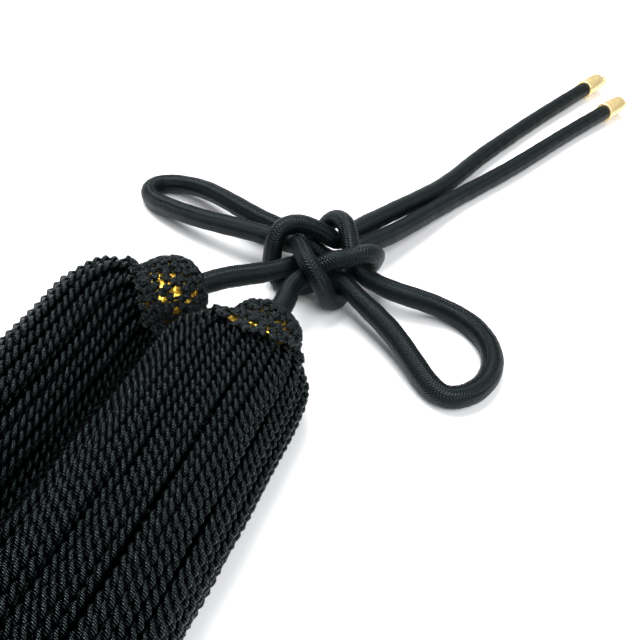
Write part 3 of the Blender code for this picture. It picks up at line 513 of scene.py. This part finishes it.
# ---------------------------------------------------------------- materials
class Shader:
    """Short names for the node calls that every material here makes."""

    def __init__(self, name):
        self.mat = bpy.data.materials.new(name)
        self.mat.use_nodes = True
        self.nodes, self.links = self.mat.node_tree.nodes, self.mat.node_tree.links
        self.bsdf = self.nodes['Principled BSDF']

    def put(self, socket, value):
        """Links a socket or sets its own value."""
        if hasattr(value, 'is_linked'):
            self.links.new(value, socket)
        else:
            socket.default_value = value

    def maths(self, operation, a, b=None):
        node = self.nodes.new('ShaderNodeMath')
        node.operation = operation
        self.put(node.inputs[0], a)
        if b is not None:
            self.put(node.inputs[1], b)
        return node.outputs[0]

    def uv(self):
        node = self.nodes.new('ShaderNodeUVMap')
        node.uv_map = 'weave'
        split = self.nodes.new('ShaderNodeSeparateXYZ')
        self.links.new(node.outputs[0], split.inputs[0])
        return split.outputs[0], split.outputs[1]

    def noise(self, scale, detail=2.0):
        coords = self.nodes.new('ShaderNodeTexCoord')
        node = self.nodes.new('ShaderNodeTexNoise')
        node.inputs['Scale'].default_value = scale
        node.inputs['Detail'].default_value = detail
        self.links.new(coords.outputs['Object'], node.inputs['Vector'])
        return node.outputs['Fac']

    def cells(self, scale):
        coords = self.nodes.new('ShaderNodeTexCoord')
        node = self.nodes.new('ShaderNodeTexVoronoi')
        node.inputs['Scale'].default_value = scale
        self.links.new(coords.outputs['Object'], node.inputs['Vector'])
        return node.outputs['Distance']

    def ramp(self, source, low, first, high, second):
        """Colour (or three equal numbers) that goes from first at low to second at high."""
        node = self.nodes.new('ShaderNodeValToRGB')
        for item, at, colour in zip(node.color_ramp.elements, (low, high), (first, second)):
            item.position = at
            item.color = (*colour, 1.0)
        self.links.new(source, node.inputs['Fac'])
        return node.outputs[0]

    def sum_of(self, sources, weights):
        """Weighted sum of several patterns."""
        total = self.maths('MULTIPLY', sources[0], weights[0])
        for source, weight in zip(sources[1:], weights[1:]):
            total = self.maths('ADD', total, self.maths('MULTIPLY', source, weight))
        return total

    def rough(self, source, middle, swing):
        ends = (middle - swing,) * 3, (middle + swing,) * 3
        self.links.new(self.ramp(source, SWING[0], ends[0], SWING[1], ends[1]),
                       self.bsdf.inputs['Roughness'])

    def bump(self, height, strength, distance):
        node = self.nodes.new('ShaderNodeBump')
        node.inputs['Strength'].default_value = strength
        node.inputs['Distance'].default_value = distance * MM
        self.links.new(height, node.inputs['Height'])
        self.links.new(node.outputs[0], self.bsdf.inputs['Normal'])

    def colour(self, source):
        self.links.new(source, self.bsdf.inputs['Base Color'])

    def gloss(self, level, pattern=None):
        """Cool gloss; pattern, where there is one, takes the place of the even level."""
        socket = self.bsdf.inputs['Specular IOR Level']
        socket.default_value = level
        if pattern is not None:
            self.links.new(pattern, socket)
        self.bsdf.inputs['Specular Tint'].default_value = COOL


def yarn_material(name, dark, light, pitch, slant, gloss, crest_power):
    """Lustrous black yarn: fine threads across each ply, a painted highlight on the crests of the
    plies, painted shade in the grooves between plies and between threads.

    With a crest power of 0 the yarn is as bright and as glossy in its grooves as on its crests: no
    painted highlight on the crests and no painted shade in the grooves between the plies.
    """
    s = Shader(name)
    u, v = s.uv()
    phase = s.maths('ADD', u, s.maths('MULTIPLY', v, slant))
    wave = s.maths('SINE', s.maths('MULTIPLY', phase, math.tau / pitch))
    thread = s.maths('ADD', s.maths('MULTIPLY', wave, 0.5), 0.5)
    crest = s.maths('ABSOLUTE', s.maths('COSINE', s.maths('MULTIPLY', v, math.tau / PLY_ROUND)))
    crest = s.maths('POWER', crest, crest_power)
    grain, clouds = s.noise(*YARN_GRAIN), s.noise(YARN_CLOUDS)
    s.bump(s.sum_of((thread, grain), YARN_BUMP), *YARN_RELIEF)
    # colour: darker between the threads (painted shade), with grain and clouds as a random tone
    level = s.sum_of((thread, grain, clouds), YARN_SHADE_AND_TONE)
    # darker away from the crests of the plies: painted highlight on the crests, painted shade in
    # the grooves
    level = s.maths('MULTIPLY', level, s.maths(
        'ADD', s.maths('MULTIPLY', crest, 1.0 - YARN_GROOVE_SHADE), YARN_GROOVE_SHADE))
    s.colour(s.ramp(level, YARN_RANGE[0], dark, YARN_RANGE[1], light))
    s.rough(clouds, *YARN_ROUGH)
    glint = s.maths('MULTIPLY', crest, s.maths('POWER', thread, GLINT_POWER))
    s.gloss(YARN_GLOSS, s.maths('ADD', s.maths('MULTIPLY', glint, gloss), GLOSS_LEAST))
    return s.mat


def braid_material(name):
    """Tight round braid: fine ribs that lean to and fro in narrow lengthwise columns, with painted
    shade in the valleys of the ribs and between the columns.
    """
    s = Shader(name)
    u, v = s.uv()
    lean = s.maths('PINGPONG', s.maths('MULTIPLY', v, BRAID_COLUMNS), 1.0)
    phase = s.maths('ADD', s.maths('MULTIPLY', u, math.tau / BRAID_RIB),
                    s.maths('MULTIPLY', lean, math.tau * BRAID_LEAN))
    rib = s.maths('ADD', s.maths('MULTIPLY', s.maths('SINE', phase), 0.5), 0.5)
    column = s.maths('ABSOLUTE', s.maths('SINE', s.maths(
        'MULTIPLY', v, math.pi * BRAID_COLUMNS)))
    relief = s.maths('MULTIPLY', rib, s.maths(
        'ADD', s.maths('MULTIPLY', column, 1.0 - BRAID_FLAT), BRAID_FLAT))
    grain, clouds = s.noise(*BRAID_GRAIN), s.noise(BRAID_CLOUDS)
    s.bump(s.sum_of((relief, grain), BRAID_BUMP), *BRAID_DEPTH)
    # colour darker in the valleys of the ribs and between the columns: painted shade; grain and
    # clouds are a random tone
    level = s.sum_of((relief, grain, clouds), BRAID_SHADE_AND_TONE)
    s.colour(s.ramp(level, BRAID_RANGE[0], BRAID_DARK, BRAID_RANGE[1], BRAID_LIGHT))
    s.rough(clouds, *BRAID_ROUGH)
    s.gloss(BRAID_GLOSS)
    return s.mat


def metal_material(name, dull, bright, rough, metallic, scale, strength, depth,
                   crumpled=False):
    """Polished metal with a fine grain, or foil with a crumple of small cells."""
    s = Shader(name)
    grain = s.noise(scale, METAL_DETAIL)
    s.colour(s.ramp(grain, SWING[0], dull, SWING[1], bright))
    s.rough(grain, rough, METAL_SWING)
    s.bsdf.inputs['Metallic'].default_value = metallic
    s.bump(s.maths('ADD', grain, s.cells(scale)) if crumpled else grain, strength, depth)
    return s.mat


def floor_material():
    s = Shader('backdrop')
    dull, bright = FLOOR_COLOURS
    s.colour(s.ramp(s.noise(FLOOR_CLOUDS), SWING[0], dull, SWING[1], bright))
    s.rough(s.noise(FLOOR_GRAIN), *FLOOR_ROUGH)
    return s.mat


# ---------------------------------------------------------------- camera, floor, light
def place_camera():
    pitch, roll = math.radians(CAMERA_PITCH), math.radians(CAMERA_ROLL)
    forward = Vector((0.0, math.cos(pitch), -math.sin(pitch)))
    level = Vector((1.0, 0.0, 0.0))
    over = level.cross(forward)
    right = level * math.cos(roll) + over * math.sin(roll)
    up = over * math.cos(roll) - level * math.sin(roll)
    data = bpy.data.cameras.new('camera')
    data.sensor_width = SENSOR
    data.lens = CAMERA_LENS
    data.clip_start = CLIP
    ob = bpy.data.objects.new('camera', data)
    turn = Matrix((right, up, -forward)).transposed().to_4x4()
    ob.matrix_world = Matrix.Translation(Vector((SHIFT[0], SHIFT[1], CAMERA_HEIGHT)) * MM) @ turn
    bpy.context.scene.collection.objects.link(ob)
    bpy.context.scene.camera = ob


def place_floor():
    bpy.ops.mesh.primitive_plane_add(size=FLOOR_SIZE, location=(0.0, 0.0, 0.0))
    ob = bpy.context.object
    ob.name = 'floor'
    ob.data.materials.append(floor_material())


def area_light(name, place, size, power):
    data = bpy.data.lights.new(name, 'AREA')
    data.size = size
    data.energy = power
    ob = bpy.data.objects.new(name, data)
    ob.location = place
    ob.rotation_euler = (-Vector(place)).to_track_quat('-Z', 'Y').to_euler()
    bpy.context.scene.collection.objects.link(ob)


def place_lights():
    for row in LIGHTS:
        area_light(*row)
    world = bpy.data.worlds.new('studio')
    world.use_nodes = True
    sky = world.node_tree.nodes['Background']
    sky.inputs[0].default_value = WORLD_COLOUR
    sky.inputs[1].default_value = WORLD_STRENGTH
    bpy.context.scene.world = world
    bpy.context.scene.view_settings.view_transform = 'Standard'


# ---------------------------------------------------------------- cords and metal ends
def smooth_route(route):
    return resample(cubic_through(route, CORD_CURVE), CORD_STEP)


def cord_radius(path):
    """A little thinner inside the tight knot."""
    away = np.hypot(path[:, 0] - KNOT_CENTRE[0], path[:, 1] - KNOT_CENTRE[1])
    share = np.clip((away - KNOT_TIGHT) / (KNOT_FREE - KNOT_TIGHT), 0.0, 1.0)
    return CORD_KNOT_RADIUS + (CORD_RADIUS - CORD_KNOT_RADIUS) * share


def build_cord(side, route):
    """Round braid with its ribs as low relief on the tube."""
    inward = route[-1] - route[-2]
    inward = inward / np.linalg.norm(inward) * CORD_INSIDE
    path = smooth_route(np.concatenate([route, [route[-1] + inward]]))
    a, b = carried_frames(path)
    run = length_along(path)
    phi = np.arange(CORD_SIDES) * math.tau / CORD_SIDES
    slow, quick = (math.tau * run / wave for wave in CORD_WAVES)
    wobble = CORD_UNEVEN * np.sin(slow + CORD_PHASE) * np.sin(quick)
    radius = (cord_radius(path) + wobble)[:, None]
    yarns = (np.cos(math.tau * run / BRAID_LAY)[:, None] * np.cos(phi * BRAID_YARNS)[None]
             + 0.0 * radius)
    radius = radius + BRAID_RELIEF * (yarns - BRAID_LEVEL)
    rings = (path[:, None] + a[:, None] * (radius * np.cos(phi))[..., None]
             + b[:, None] * (radius * np.sin(phi))[..., None])
    heap = Heap()
    heap.grid(rings, run, np.arange(CORD_SIDES + 1) / CORD_SIDES)
    ob = heap.build('braided_cord_' + side, braid, 'cord_braid')
    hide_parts('cord_' + side)
    return ob, path, run[-1]


def axis_frame(origin, forward):
    """Rows: along, side, up; and the origin."""
    x = np.array(forward) / np.linalg.norm(forward)
    y = np.cross((0.0, 0.0, 1.0), x)
    y /= np.linalg.norm(y)
    return np.array(origin, float), np.array([x, y, np.cross(x, y)])


def turned(heap, origin, axes, profile, sides):
    """Solid of revolution about the first axis: rows are height, radius (mm)."""
    phi = np.arange(sides) * math.tau / sides
    h, r = np.array(profile).T
    rings = (origin + h[:, None, None] * axes[0]
             + (r[:, None] * np.cos(phi))[..., None] * axes[1]
             + (r[:, None] * np.sin(phi))[..., None] * axes[2])
    heap.grid(rings[::-1], h[::-1], np.arange(sides + 1) / sides * TURNED_ROUND)


def torus(heap, centre, u, v, major, minor, steps, sides):
    """Closed ring of round wire in the plane of u and v."""
    phi, psi = np.arange(steps + 1) * math.tau / steps, np.arange(sides) * math.tau / sides
    w = np.cross(u, v)
    out = np.cos(phi)[:, None] * u + np.sin(phi)[:, None] * v
    rings = (centre + out[:, None] * (major + minor * np.cos(psi))[None, :, None]
             + w * (minor * np.sin(psi))[None, :, None])
    heap.grid(rings, phi * major, np.arange(sides + 1) / sides * WIRE_ROUND, cap=False)


def build_end(side, route):
    """Turned brass cap with a rolled mouth, a groove and a cast eye."""
    tip, behind = route[0], route[1]
    along = (tip - behind) / np.linalg.norm(tip - behind)
    origin, axes = axis_frame(tip + along * GAP, along)
    heap = Heap()
    turned(heap, origin, axes, CAP_PROFILE, CAP_SIDES)
    eye_at = CAP_LENGTH + EYE_RADIUS - EYE_SINK
    torus(heap, origin + axes[0] * eye_at, axes[0], axes[1], EYE_RADIUS, EYE_WIRE,
          EYE_STEPS, WIRE_SIDES)
    ob = heap.build('brass_end_' + side, brass, 'end_metal')
    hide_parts('cord_end_' + side)
    return ob, origin, axes, eye_at


def build_ring(origin, axes, eye_at):
    """Wire ring that passes through the eye and leans down beside it."""
    seat = origin + axes[0] * (eye_at + RING_SEAT)
    out = axes[0] * math.cos(RING_TURN) + axes[1] * math.sin(RING_TURN)
    side = np.cross(axes[2], out)
    out = out * math.cos(RING_DIP) + axes[2] * math.sin(RING_DIP)
    up = np.cross(out, side)
    heap = Heap()
    torus(heap, seat + out * RING_RADIUS, out, up, RING_RADIUS, RING_WIRE, RING_STEPS,
          WIRE_SIDES)
    ob = heap.build('brass_jump_ring', brass, 'end_metal')
    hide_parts('jump_ring')
    return ob


# ---------------------------------------------------------------- netted heads
def head_frame(row):
    return axis_frame(row[1:4], heading_vector(row[4]))


class Net:
    """Surface of the netted cover, from the crown over the head and the skirt's shoulder."""

    def __init__(self, row):
        skirt = Skirt(row)
        self.name = row[0]
        self.origin, self.axes = head_frame(row)
        shift = NET_BACK[row[0]]
        self.origin = self.origin + shift * self.axes[0]
        h, r = np.array(NET_PROFILE).T
        h = h * (row[5] - shift) / h[-1]
        self.head = length_along(np.stack([h, r], -1))[-1]
        self.reach = self.head + CAPE_LENGTH[row[0]]
        self.stops = np.arange(0.0, self.reach + 1.0, NET_GRID)
        self.turns = np.arange(NET_TURNS + 1) * math.tau / NET_TURNS
        sweep = np.append(np.linspace(*NET_SWEEP), [0.5 * math.pi] * len(NET_DOWN))
        beyond = np.append(np.zeros(NET_SWEEP[2]), NET_DOWN)
        lines = []
        for angle in self.turns:
            out = math.cos(angle) * self.axes[1] + math.sin(angle) * self.axes[2]
            head = self.origin + h[:-1, None] * self.axes[0] + (r[:-1, None] - NET_INSET) * out
            swell = plump(row[0], angle)
            edge = skirt.edge(angle) + swell
            over = NET_OVER + (NET_RIM_OVER - NET_OVER) * np.minimum(sweep / OVER_BY, 1.0)
            wide = (SHOULDER_RIM + (edge - SHOULDER_RIM) * np.sin(sweep)
                    + over * np.sin(sweep + OVER_LEAN))
            s = (SHOULDER_LONG * (1.0 - np.cos(sweep)) - over * np.cos(sweep + OVER_LEAN)
                 + beyond)
            wide = wide - CROWD_DIVE * crowded(s)
            cape = skirt.at(s, wide * math.cos(angle), SHOULDER_Z + wide * math.sin(angle))
            line = cubic_through(np.concatenate([head, cape]), NET_LINE)
            run = length_along(line)
            lines.append(np.stack([np.interp(self.stops, run, line[:, k]) for k in range(3)], -1))
        self.table = np.array(lines)
        self.normal = np.cross(np.gradient(self.table, axis=0), np.gradient(self.table, axis=1))
        self.normal /= np.maximum(np.linalg.norm(self.normal, axis=2), 1e-9)[..., None]

    def look_up(self, table, t, angle):
        """Between the rows and columns of a table, at t from the crown in one direction."""
        x = np.mod(angle, math.tau) / math.tau * NET_TURNS
        y = np.clip(np.asarray(t, float) / NET_GRID, 0.0, len(self.stops) - 1.001)
        x, y = np.broadcast_arrays(x, y)
        i, j = np.minimum(x.astype(int), NET_TURNS - 1), y.astype(int)
        fx, fy = (x - i)[..., None], (y - j)[..., None]
        return ((table[i, j] * (1.0 - fx) + table[i + 1, j] * fx) * (1.0 - fy)
                + (table[i, j + 1] * (1.0 - fx) + table[i + 1, j + 1] * fx) * fy)

    def limit(self, angle):
        """How far the cover reaches down over the strands in one direction."""
        way, least, spread = CAPE_SHAPE[self.name]
        gap = (angle - math.radians(way) + math.pi) % math.tau - math.pi
        swell = np.exp(-(gap / spread) ** 4)
        return self.reach - CAPE_LENGTH[self.name] * (1.0 - least) * (1.0 - swell)

    def at(self, t, angle, lift=0.0):
        return self.look_up(self.table, t, angle) + lift * self.look_up(self.normal, t, angle)

    def ring(self, t, shift):
        """Angles of evenly spaced points on the ring at t."""
        run = length_along(self.at(t, self.turns[:-1]))
        count = int(round(run[-1] / NET_SPACING))
        stops = (np.arange(count) + shift) % count * run[-1] / count
        return np.interp(stops, run, self.turns[:-1])


def plump(name, angle):
    """How far the skirt swells out beyond the plain outline in one direction (mm)."""
    way, size = PLUMP[name]
    return size * max(0.0, math.cos(angle - math.radians(way)))


def crochet_knot(heap, net, t, turn, size):
    """One knot: a core with three short loops of cord laid over it."""
    here = net.at(t, turn, KNOT_LIFT)
    up = net.at(t, turn, KNOT_LIFT + 1.0) - here
    along = net.at(t + KNOT_AHEAD, turn, KNOT_LIFT) - here
    along /= np.linalg.norm(along)
    across = np.cross(up, along)
    heap.ball(here, np.array([across, along, up]) * KNOT_CORE * size, steps=KNOT_STEPS)
    lean = random.uniform(0.0, math.tau)
    bow = np.linspace(-LOOP_ENDS, LOOP_ENDS, LOOP_POINTS)
    for k in range(LOOPS):
        angle = lean + math.tau * (k + random.uniform(-LOOP_STRAY, LOOP_STRAY)) / LOOPS
        ahead = across * math.cos(angle) + along * math.sin(angle)
        aside = np.cross(up, ahead)
        rise = aside * LOOP_OUT + up * LOOP_RISE
        path = (here + np.outer(np.sin(bow), ahead) * LOOP_SIZE * size
                + np.outer(np.cos(bow), rise) * LOOP_SIZE * size + aside * LOOP_ASIDE * size)
        two_ply(heap, path, LOOP_STEP, FINE_SIDES, KNOT_CORD * size,
                random.uniform(0.0, ANY_PHASE), lay=LOOP_LAY)


def pushed(name, t, turn, radius):
    """Moves a knot out of the openings that show the foil."""
    for at, way, size in OPENINGS[name]:
        way = math.radians(way)
        dx = (turn - way + math.pi) % math.tau - math.pi
        dt, dx = t - at, dx * radius
        gap = math.hypot(dt, dx)
        need = size + KNOT_CORE * KNOT_SIZE
        if gap < need:
            gap = max(gap, LEAST_GAP)
            t, turn = at + dt * need / gap, way + dx * need / gap / radius
    return t, turn


def crossed(name, start, end, radius):
    """True when a tie from one knot to another would cross an opening."""
    for at, way, size in OPENINGS[name]:
        for f in CROSSED_AT:
            t, turn = (start[k] + (end[k] - start[k]) * f for k in (0, 1))
            dx = (turn - math.radians(way) + math.pi) % math.tau - math.pi
            if math.hypot(t - at, dx * radius) < size * CROSSED_SHARE:
                return True
    return False


def build_net(row):
    """Knotted cover: rows of small knots, each tied to the nearest ones of the row before."""
    name = row[0]
    net = Net(row)
    rows = int(round((net.reach - NET_FIRST) / NET_ROW))
    heap = Heap()
    before = []
    for i in range(rows + 1):
        level = NET_FIRST + i * (net.reach - NET_FIRST) / rows
        here = []
        for turn in net.ring(level, random.random()):
            t = level + random.normal(0.0, KNOT_STRAY)
            turn += random.normal(0.0, KNOT_TURN)
            size = KNOT_SIZE * random.uniform(*KNOT_UNEVEN)
            if level <= net.limit(turn) + CAPE_EDGE:
                here.append(pushed(name, t, turn, HEAD_RADIUS))
                crochet_knot(heap, net, *here[-1], size)
        ties = []
        for t, turn in here:
            near = sorted((abs((turn - w + math.pi) % math.tau - math.pi), v, w)
                          for v, w in before)[:2]
            ties += [((t, turn), (v, w)) for _, v, w in near]
        ties += [(a, b) for a, b in zip(here, here[1:] + here[:1])
                 if abs((a[1] - b[1] + math.pi) % math.tau - math.pi) * HEAD_RADIUS < TIE_LONGEST]
        for (t, turn), (v, w) in ties:
            w += math.tau * round((turn - w) / math.tau)
            if crossed(name, (t, turn), (v, w), HEAD_RADIUS):
                continue
            s = np.linspace(0.0, 1.0, TIE_POINTS)
            path = net.at(t + (v - t) * s, turn + (w - turn) * s)
            two_ply(heap, path, TIE_STEP, FINE_SIDES, TIE_CORD * random.uniform(*TIE_UNEVEN),
                    random.uniform(0.0, ANY_PHASE), lay=TIE_LAY)
        before = here
    # two turns of the same yarn close the crown round the cord
    for k in range(2):
        torus(heap, net.origin + net.axes[0] * (CROWN_AT + CROWN_STEP * k), *net.axes[1:],
              CORD_RADIUS + CROWN_OUT + CROWN_SPACE * k, CROWN_WIRE, CROWN_STEPS, CROWN_SIDES)
    for part in heap.verts:
        part[:, 2] = np.maximum(part[:, 2], PRESSED)
    ob = heap.build('knotted_net_' + name, knit, 'net_cord')
    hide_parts('net_' + name)
    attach(ob, 'root')


def build_core(row):
    """Crumpled metal foil over the wooden form, drawn down over the tops of the strands."""
    name = row[0]
    net = Net(row)
    rows, sides = FOIL_ROWS, FOIL_SIDES
    t = np.linspace(FOIL_START, net.reach, rows)
    phi = np.arange(sides) * math.tau / sides
    crush = random.normal(0.0, FOIL_CRUSH, (rows, sides))
    crush[:, ::2] *= FOIL_CALM
    crush = np.minimum(crush, FOIL_RIDGE) - FOIL_UNDER
    level = t[:, None] + random.normal(0.0, FOIL_STRAY, (rows, sides))
    level = np.minimum(level, net.limit(phi)[None] - FOIL_SHORT)
    rings = net.at(level, phi[None], crush[..., None])
    heap = Heap()
    heap.grid(rings[::-1], t[::-1], np.arange(sides + 1) / sides * FOIL_ROUND)
    ob = heap.build('foil_core_' + name, foil, 'core_foil', smooth=False)
    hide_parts('core_' + name)
    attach(ob, 'root')


# ---------------------------------------------------------------- skirts
def crowded(s):
    """How much the strands still crowd together at a length along the skirt."""
    return 1.0 - np.clip((s - CROWD_FROM) / CROWD_LONG, 0.0, 1.0) ** CROWD_POWER


def wander(s, size, lengths):
    """Slow smooth unevenness along a strand."""
    out = np.zeros_like(s)
    for length in lengths:
        out += np.sin(math.tau * (s / length + random.random())) * random.uniform(*WANDER_SHARE)
    return size * out / len(lengths)


def strand_path(skirt, x, z, layer, order, number):
    """Out from under the net, over the round shoulder and along the settled bundle."""
    angle = math.atan2(z, x)
    edge = skirt.edge(angle)
    share = math.hypot(x, z) / edge
    edge += plump(skirt.name, angle)
    depth = SHOULDER_STEP * layer
    sink = CROWD_SINK if order % 2 else 0.0
    tip = skirt.length + TIP_RAGGED * (math.modf(number * GOLDEN)[0] - 0.5)
    root = np.linspace(ROOT_HIDDEN, 0.0, 3)[:-1]
    sweep = np.linspace(0.0, 0.5 * math.pi, SWEEP_POINTS)
    s = np.concatenate([root * 0.0, SHOULDER_LONG * (1.0 - np.cos(sweep)),
                        np.arange(SHOULDER_LONG + STRAND_STEP, tip - depth, STRAND_STEP)])
    swell = np.concatenate([root * 0.0, np.sin(sweep), np.ones(len(s) - len(root) - len(sweep))])
    rim = SHOULDER_RIM / share * (1.0 - SHOULDER_IN * layer)
    out = share * (rim + (edge - rim) * swell)
    out[:len(root)] += root
    fade = crowded(s)
    out = out - (CROWD_IN * sink + CROWD_DIVE) * fade
    out = out - abs(random.normal(0.0, SUNKEN)) * np.clip(s / SUNKEN_BY, 0.0, 1.0)
    s = s + depth + sink * fade
    lateral = out * math.cos(angle)
    height = SHOULDER_Z + out * math.sin(angle)
    ease = np.clip(s / LOOSE_BY, 0.0, 1.0)
    clump = math.tau * lateral / CLUMP_PITCH + CLUMP_DRIFT * s
    lateral = lateral + ease * (CLUMP_SIZE * np.sin(clump) + wander(s, WANDER, WANDER_WAVES))
    clump = math.tau * lateral / CLUMP_PITCH + CLUMP_DRIFT * s
    height = height + ease * (wander(s, WANDER_UP, WANDER_UP_WAVES) - CLUMP_DIP * np.cos(clump))
    if math.sin(angle) > 0.0:
        bump = np.exp(-((s - SHOULDER_LONG) / RISE_LONG) ** 2)
        height = height + SHOULDER_RISE[skirt.name] * math.sin(angle) * bump
    height = np.maximum(height, LOWEST)
    return skirt.at(s, lateral, height)


def build_skirt(row):
    """All strands of one skirt, in three pieces by how finely they are made."""
    skirt = Skirt(row)
    heaps = {part: Heap() for part in ('upper', 'side', 'inner')}
    number = 0
    for layer in range(LAYERS):
        depth = LAYER_FIRST + LAYER_DEPTH * layer
        if depth > 0.5 * skirt.top - STRAND_RADIUS:
            break
        pitch = OUTER_PITCH if layer == 0 else INNER_PITCH
        for order, (x, z) in enumerate(skirt.layer(depth, pitch)):
            number += 1
            path = strand_path(skirt, x, z, layer, order, number)
            part = 'inner' if layer else 'upper' if z > UPPER_FROM else 'side'
            step, sides = DETAIL[part] if layer < DEEP_LAYER else DEEP_DETAIL
            two_ply(heaps[part], path, step, sides, random.uniform(*STRAND_UNEVEN),
                    random.uniform(0.0, math.tau))
    for part, heap in heaps.items():
        ob = heap.build('silk_strands_' + skirt.name + '_' + part, silk, 'silk_strand')
        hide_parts('skirt_' + skirt.name)
        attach(ob, 'root')


# ---------------------------------------------------------------- build
silk = yarn_material('silk_strand', (0.0001, 0.0002, 0.0002), (0.003, 0.0046, 0.0054),
                     pitch=0.52, slant=0.2, gloss=0.82, crest_power=3.6)
knit = yarn_material('net_cord', (0.0002, 0.0003, 0.0003), (0.008, 0.0108, 0.0122),
                     pitch=0.5, slant=0.6, gloss=0.8, crest_power=0.0)
braid = braid_material('cord_braid')
foil = metal_material('core_foil', (0.9, 0.5, 0.04), (1.0, 0.72, 0.12), rough=0.3,
                      metallic=0.8, scale=420.0, strength=0.5, depth=0.3, crumpled=True)
brass = metal_material('end_metal', (0.95, 0.71, 0.32), (1.0, 0.8, 0.42), rough=0.26,
                       metallic=0.65, scale=600.0, strength=0.05, depth=0.02)

place_camera()
routes = lay_cords()
for side, route in routes.items():
    cord, path, length = build_cord(side, route)
    end, end_origin, end_axes, eye_at = build_end(side, route)
    pieces = [end]
    if side == 'left':
        pieces.append(build_ring(end_origin, end_axes, eye_at))
    for ob in (cord, *pieces):
        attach(ob, 'root')
place_floor()
place_lights()
for row in TASSELS:
    build_net(row)
    build_core(row)
    build_skirt(row)
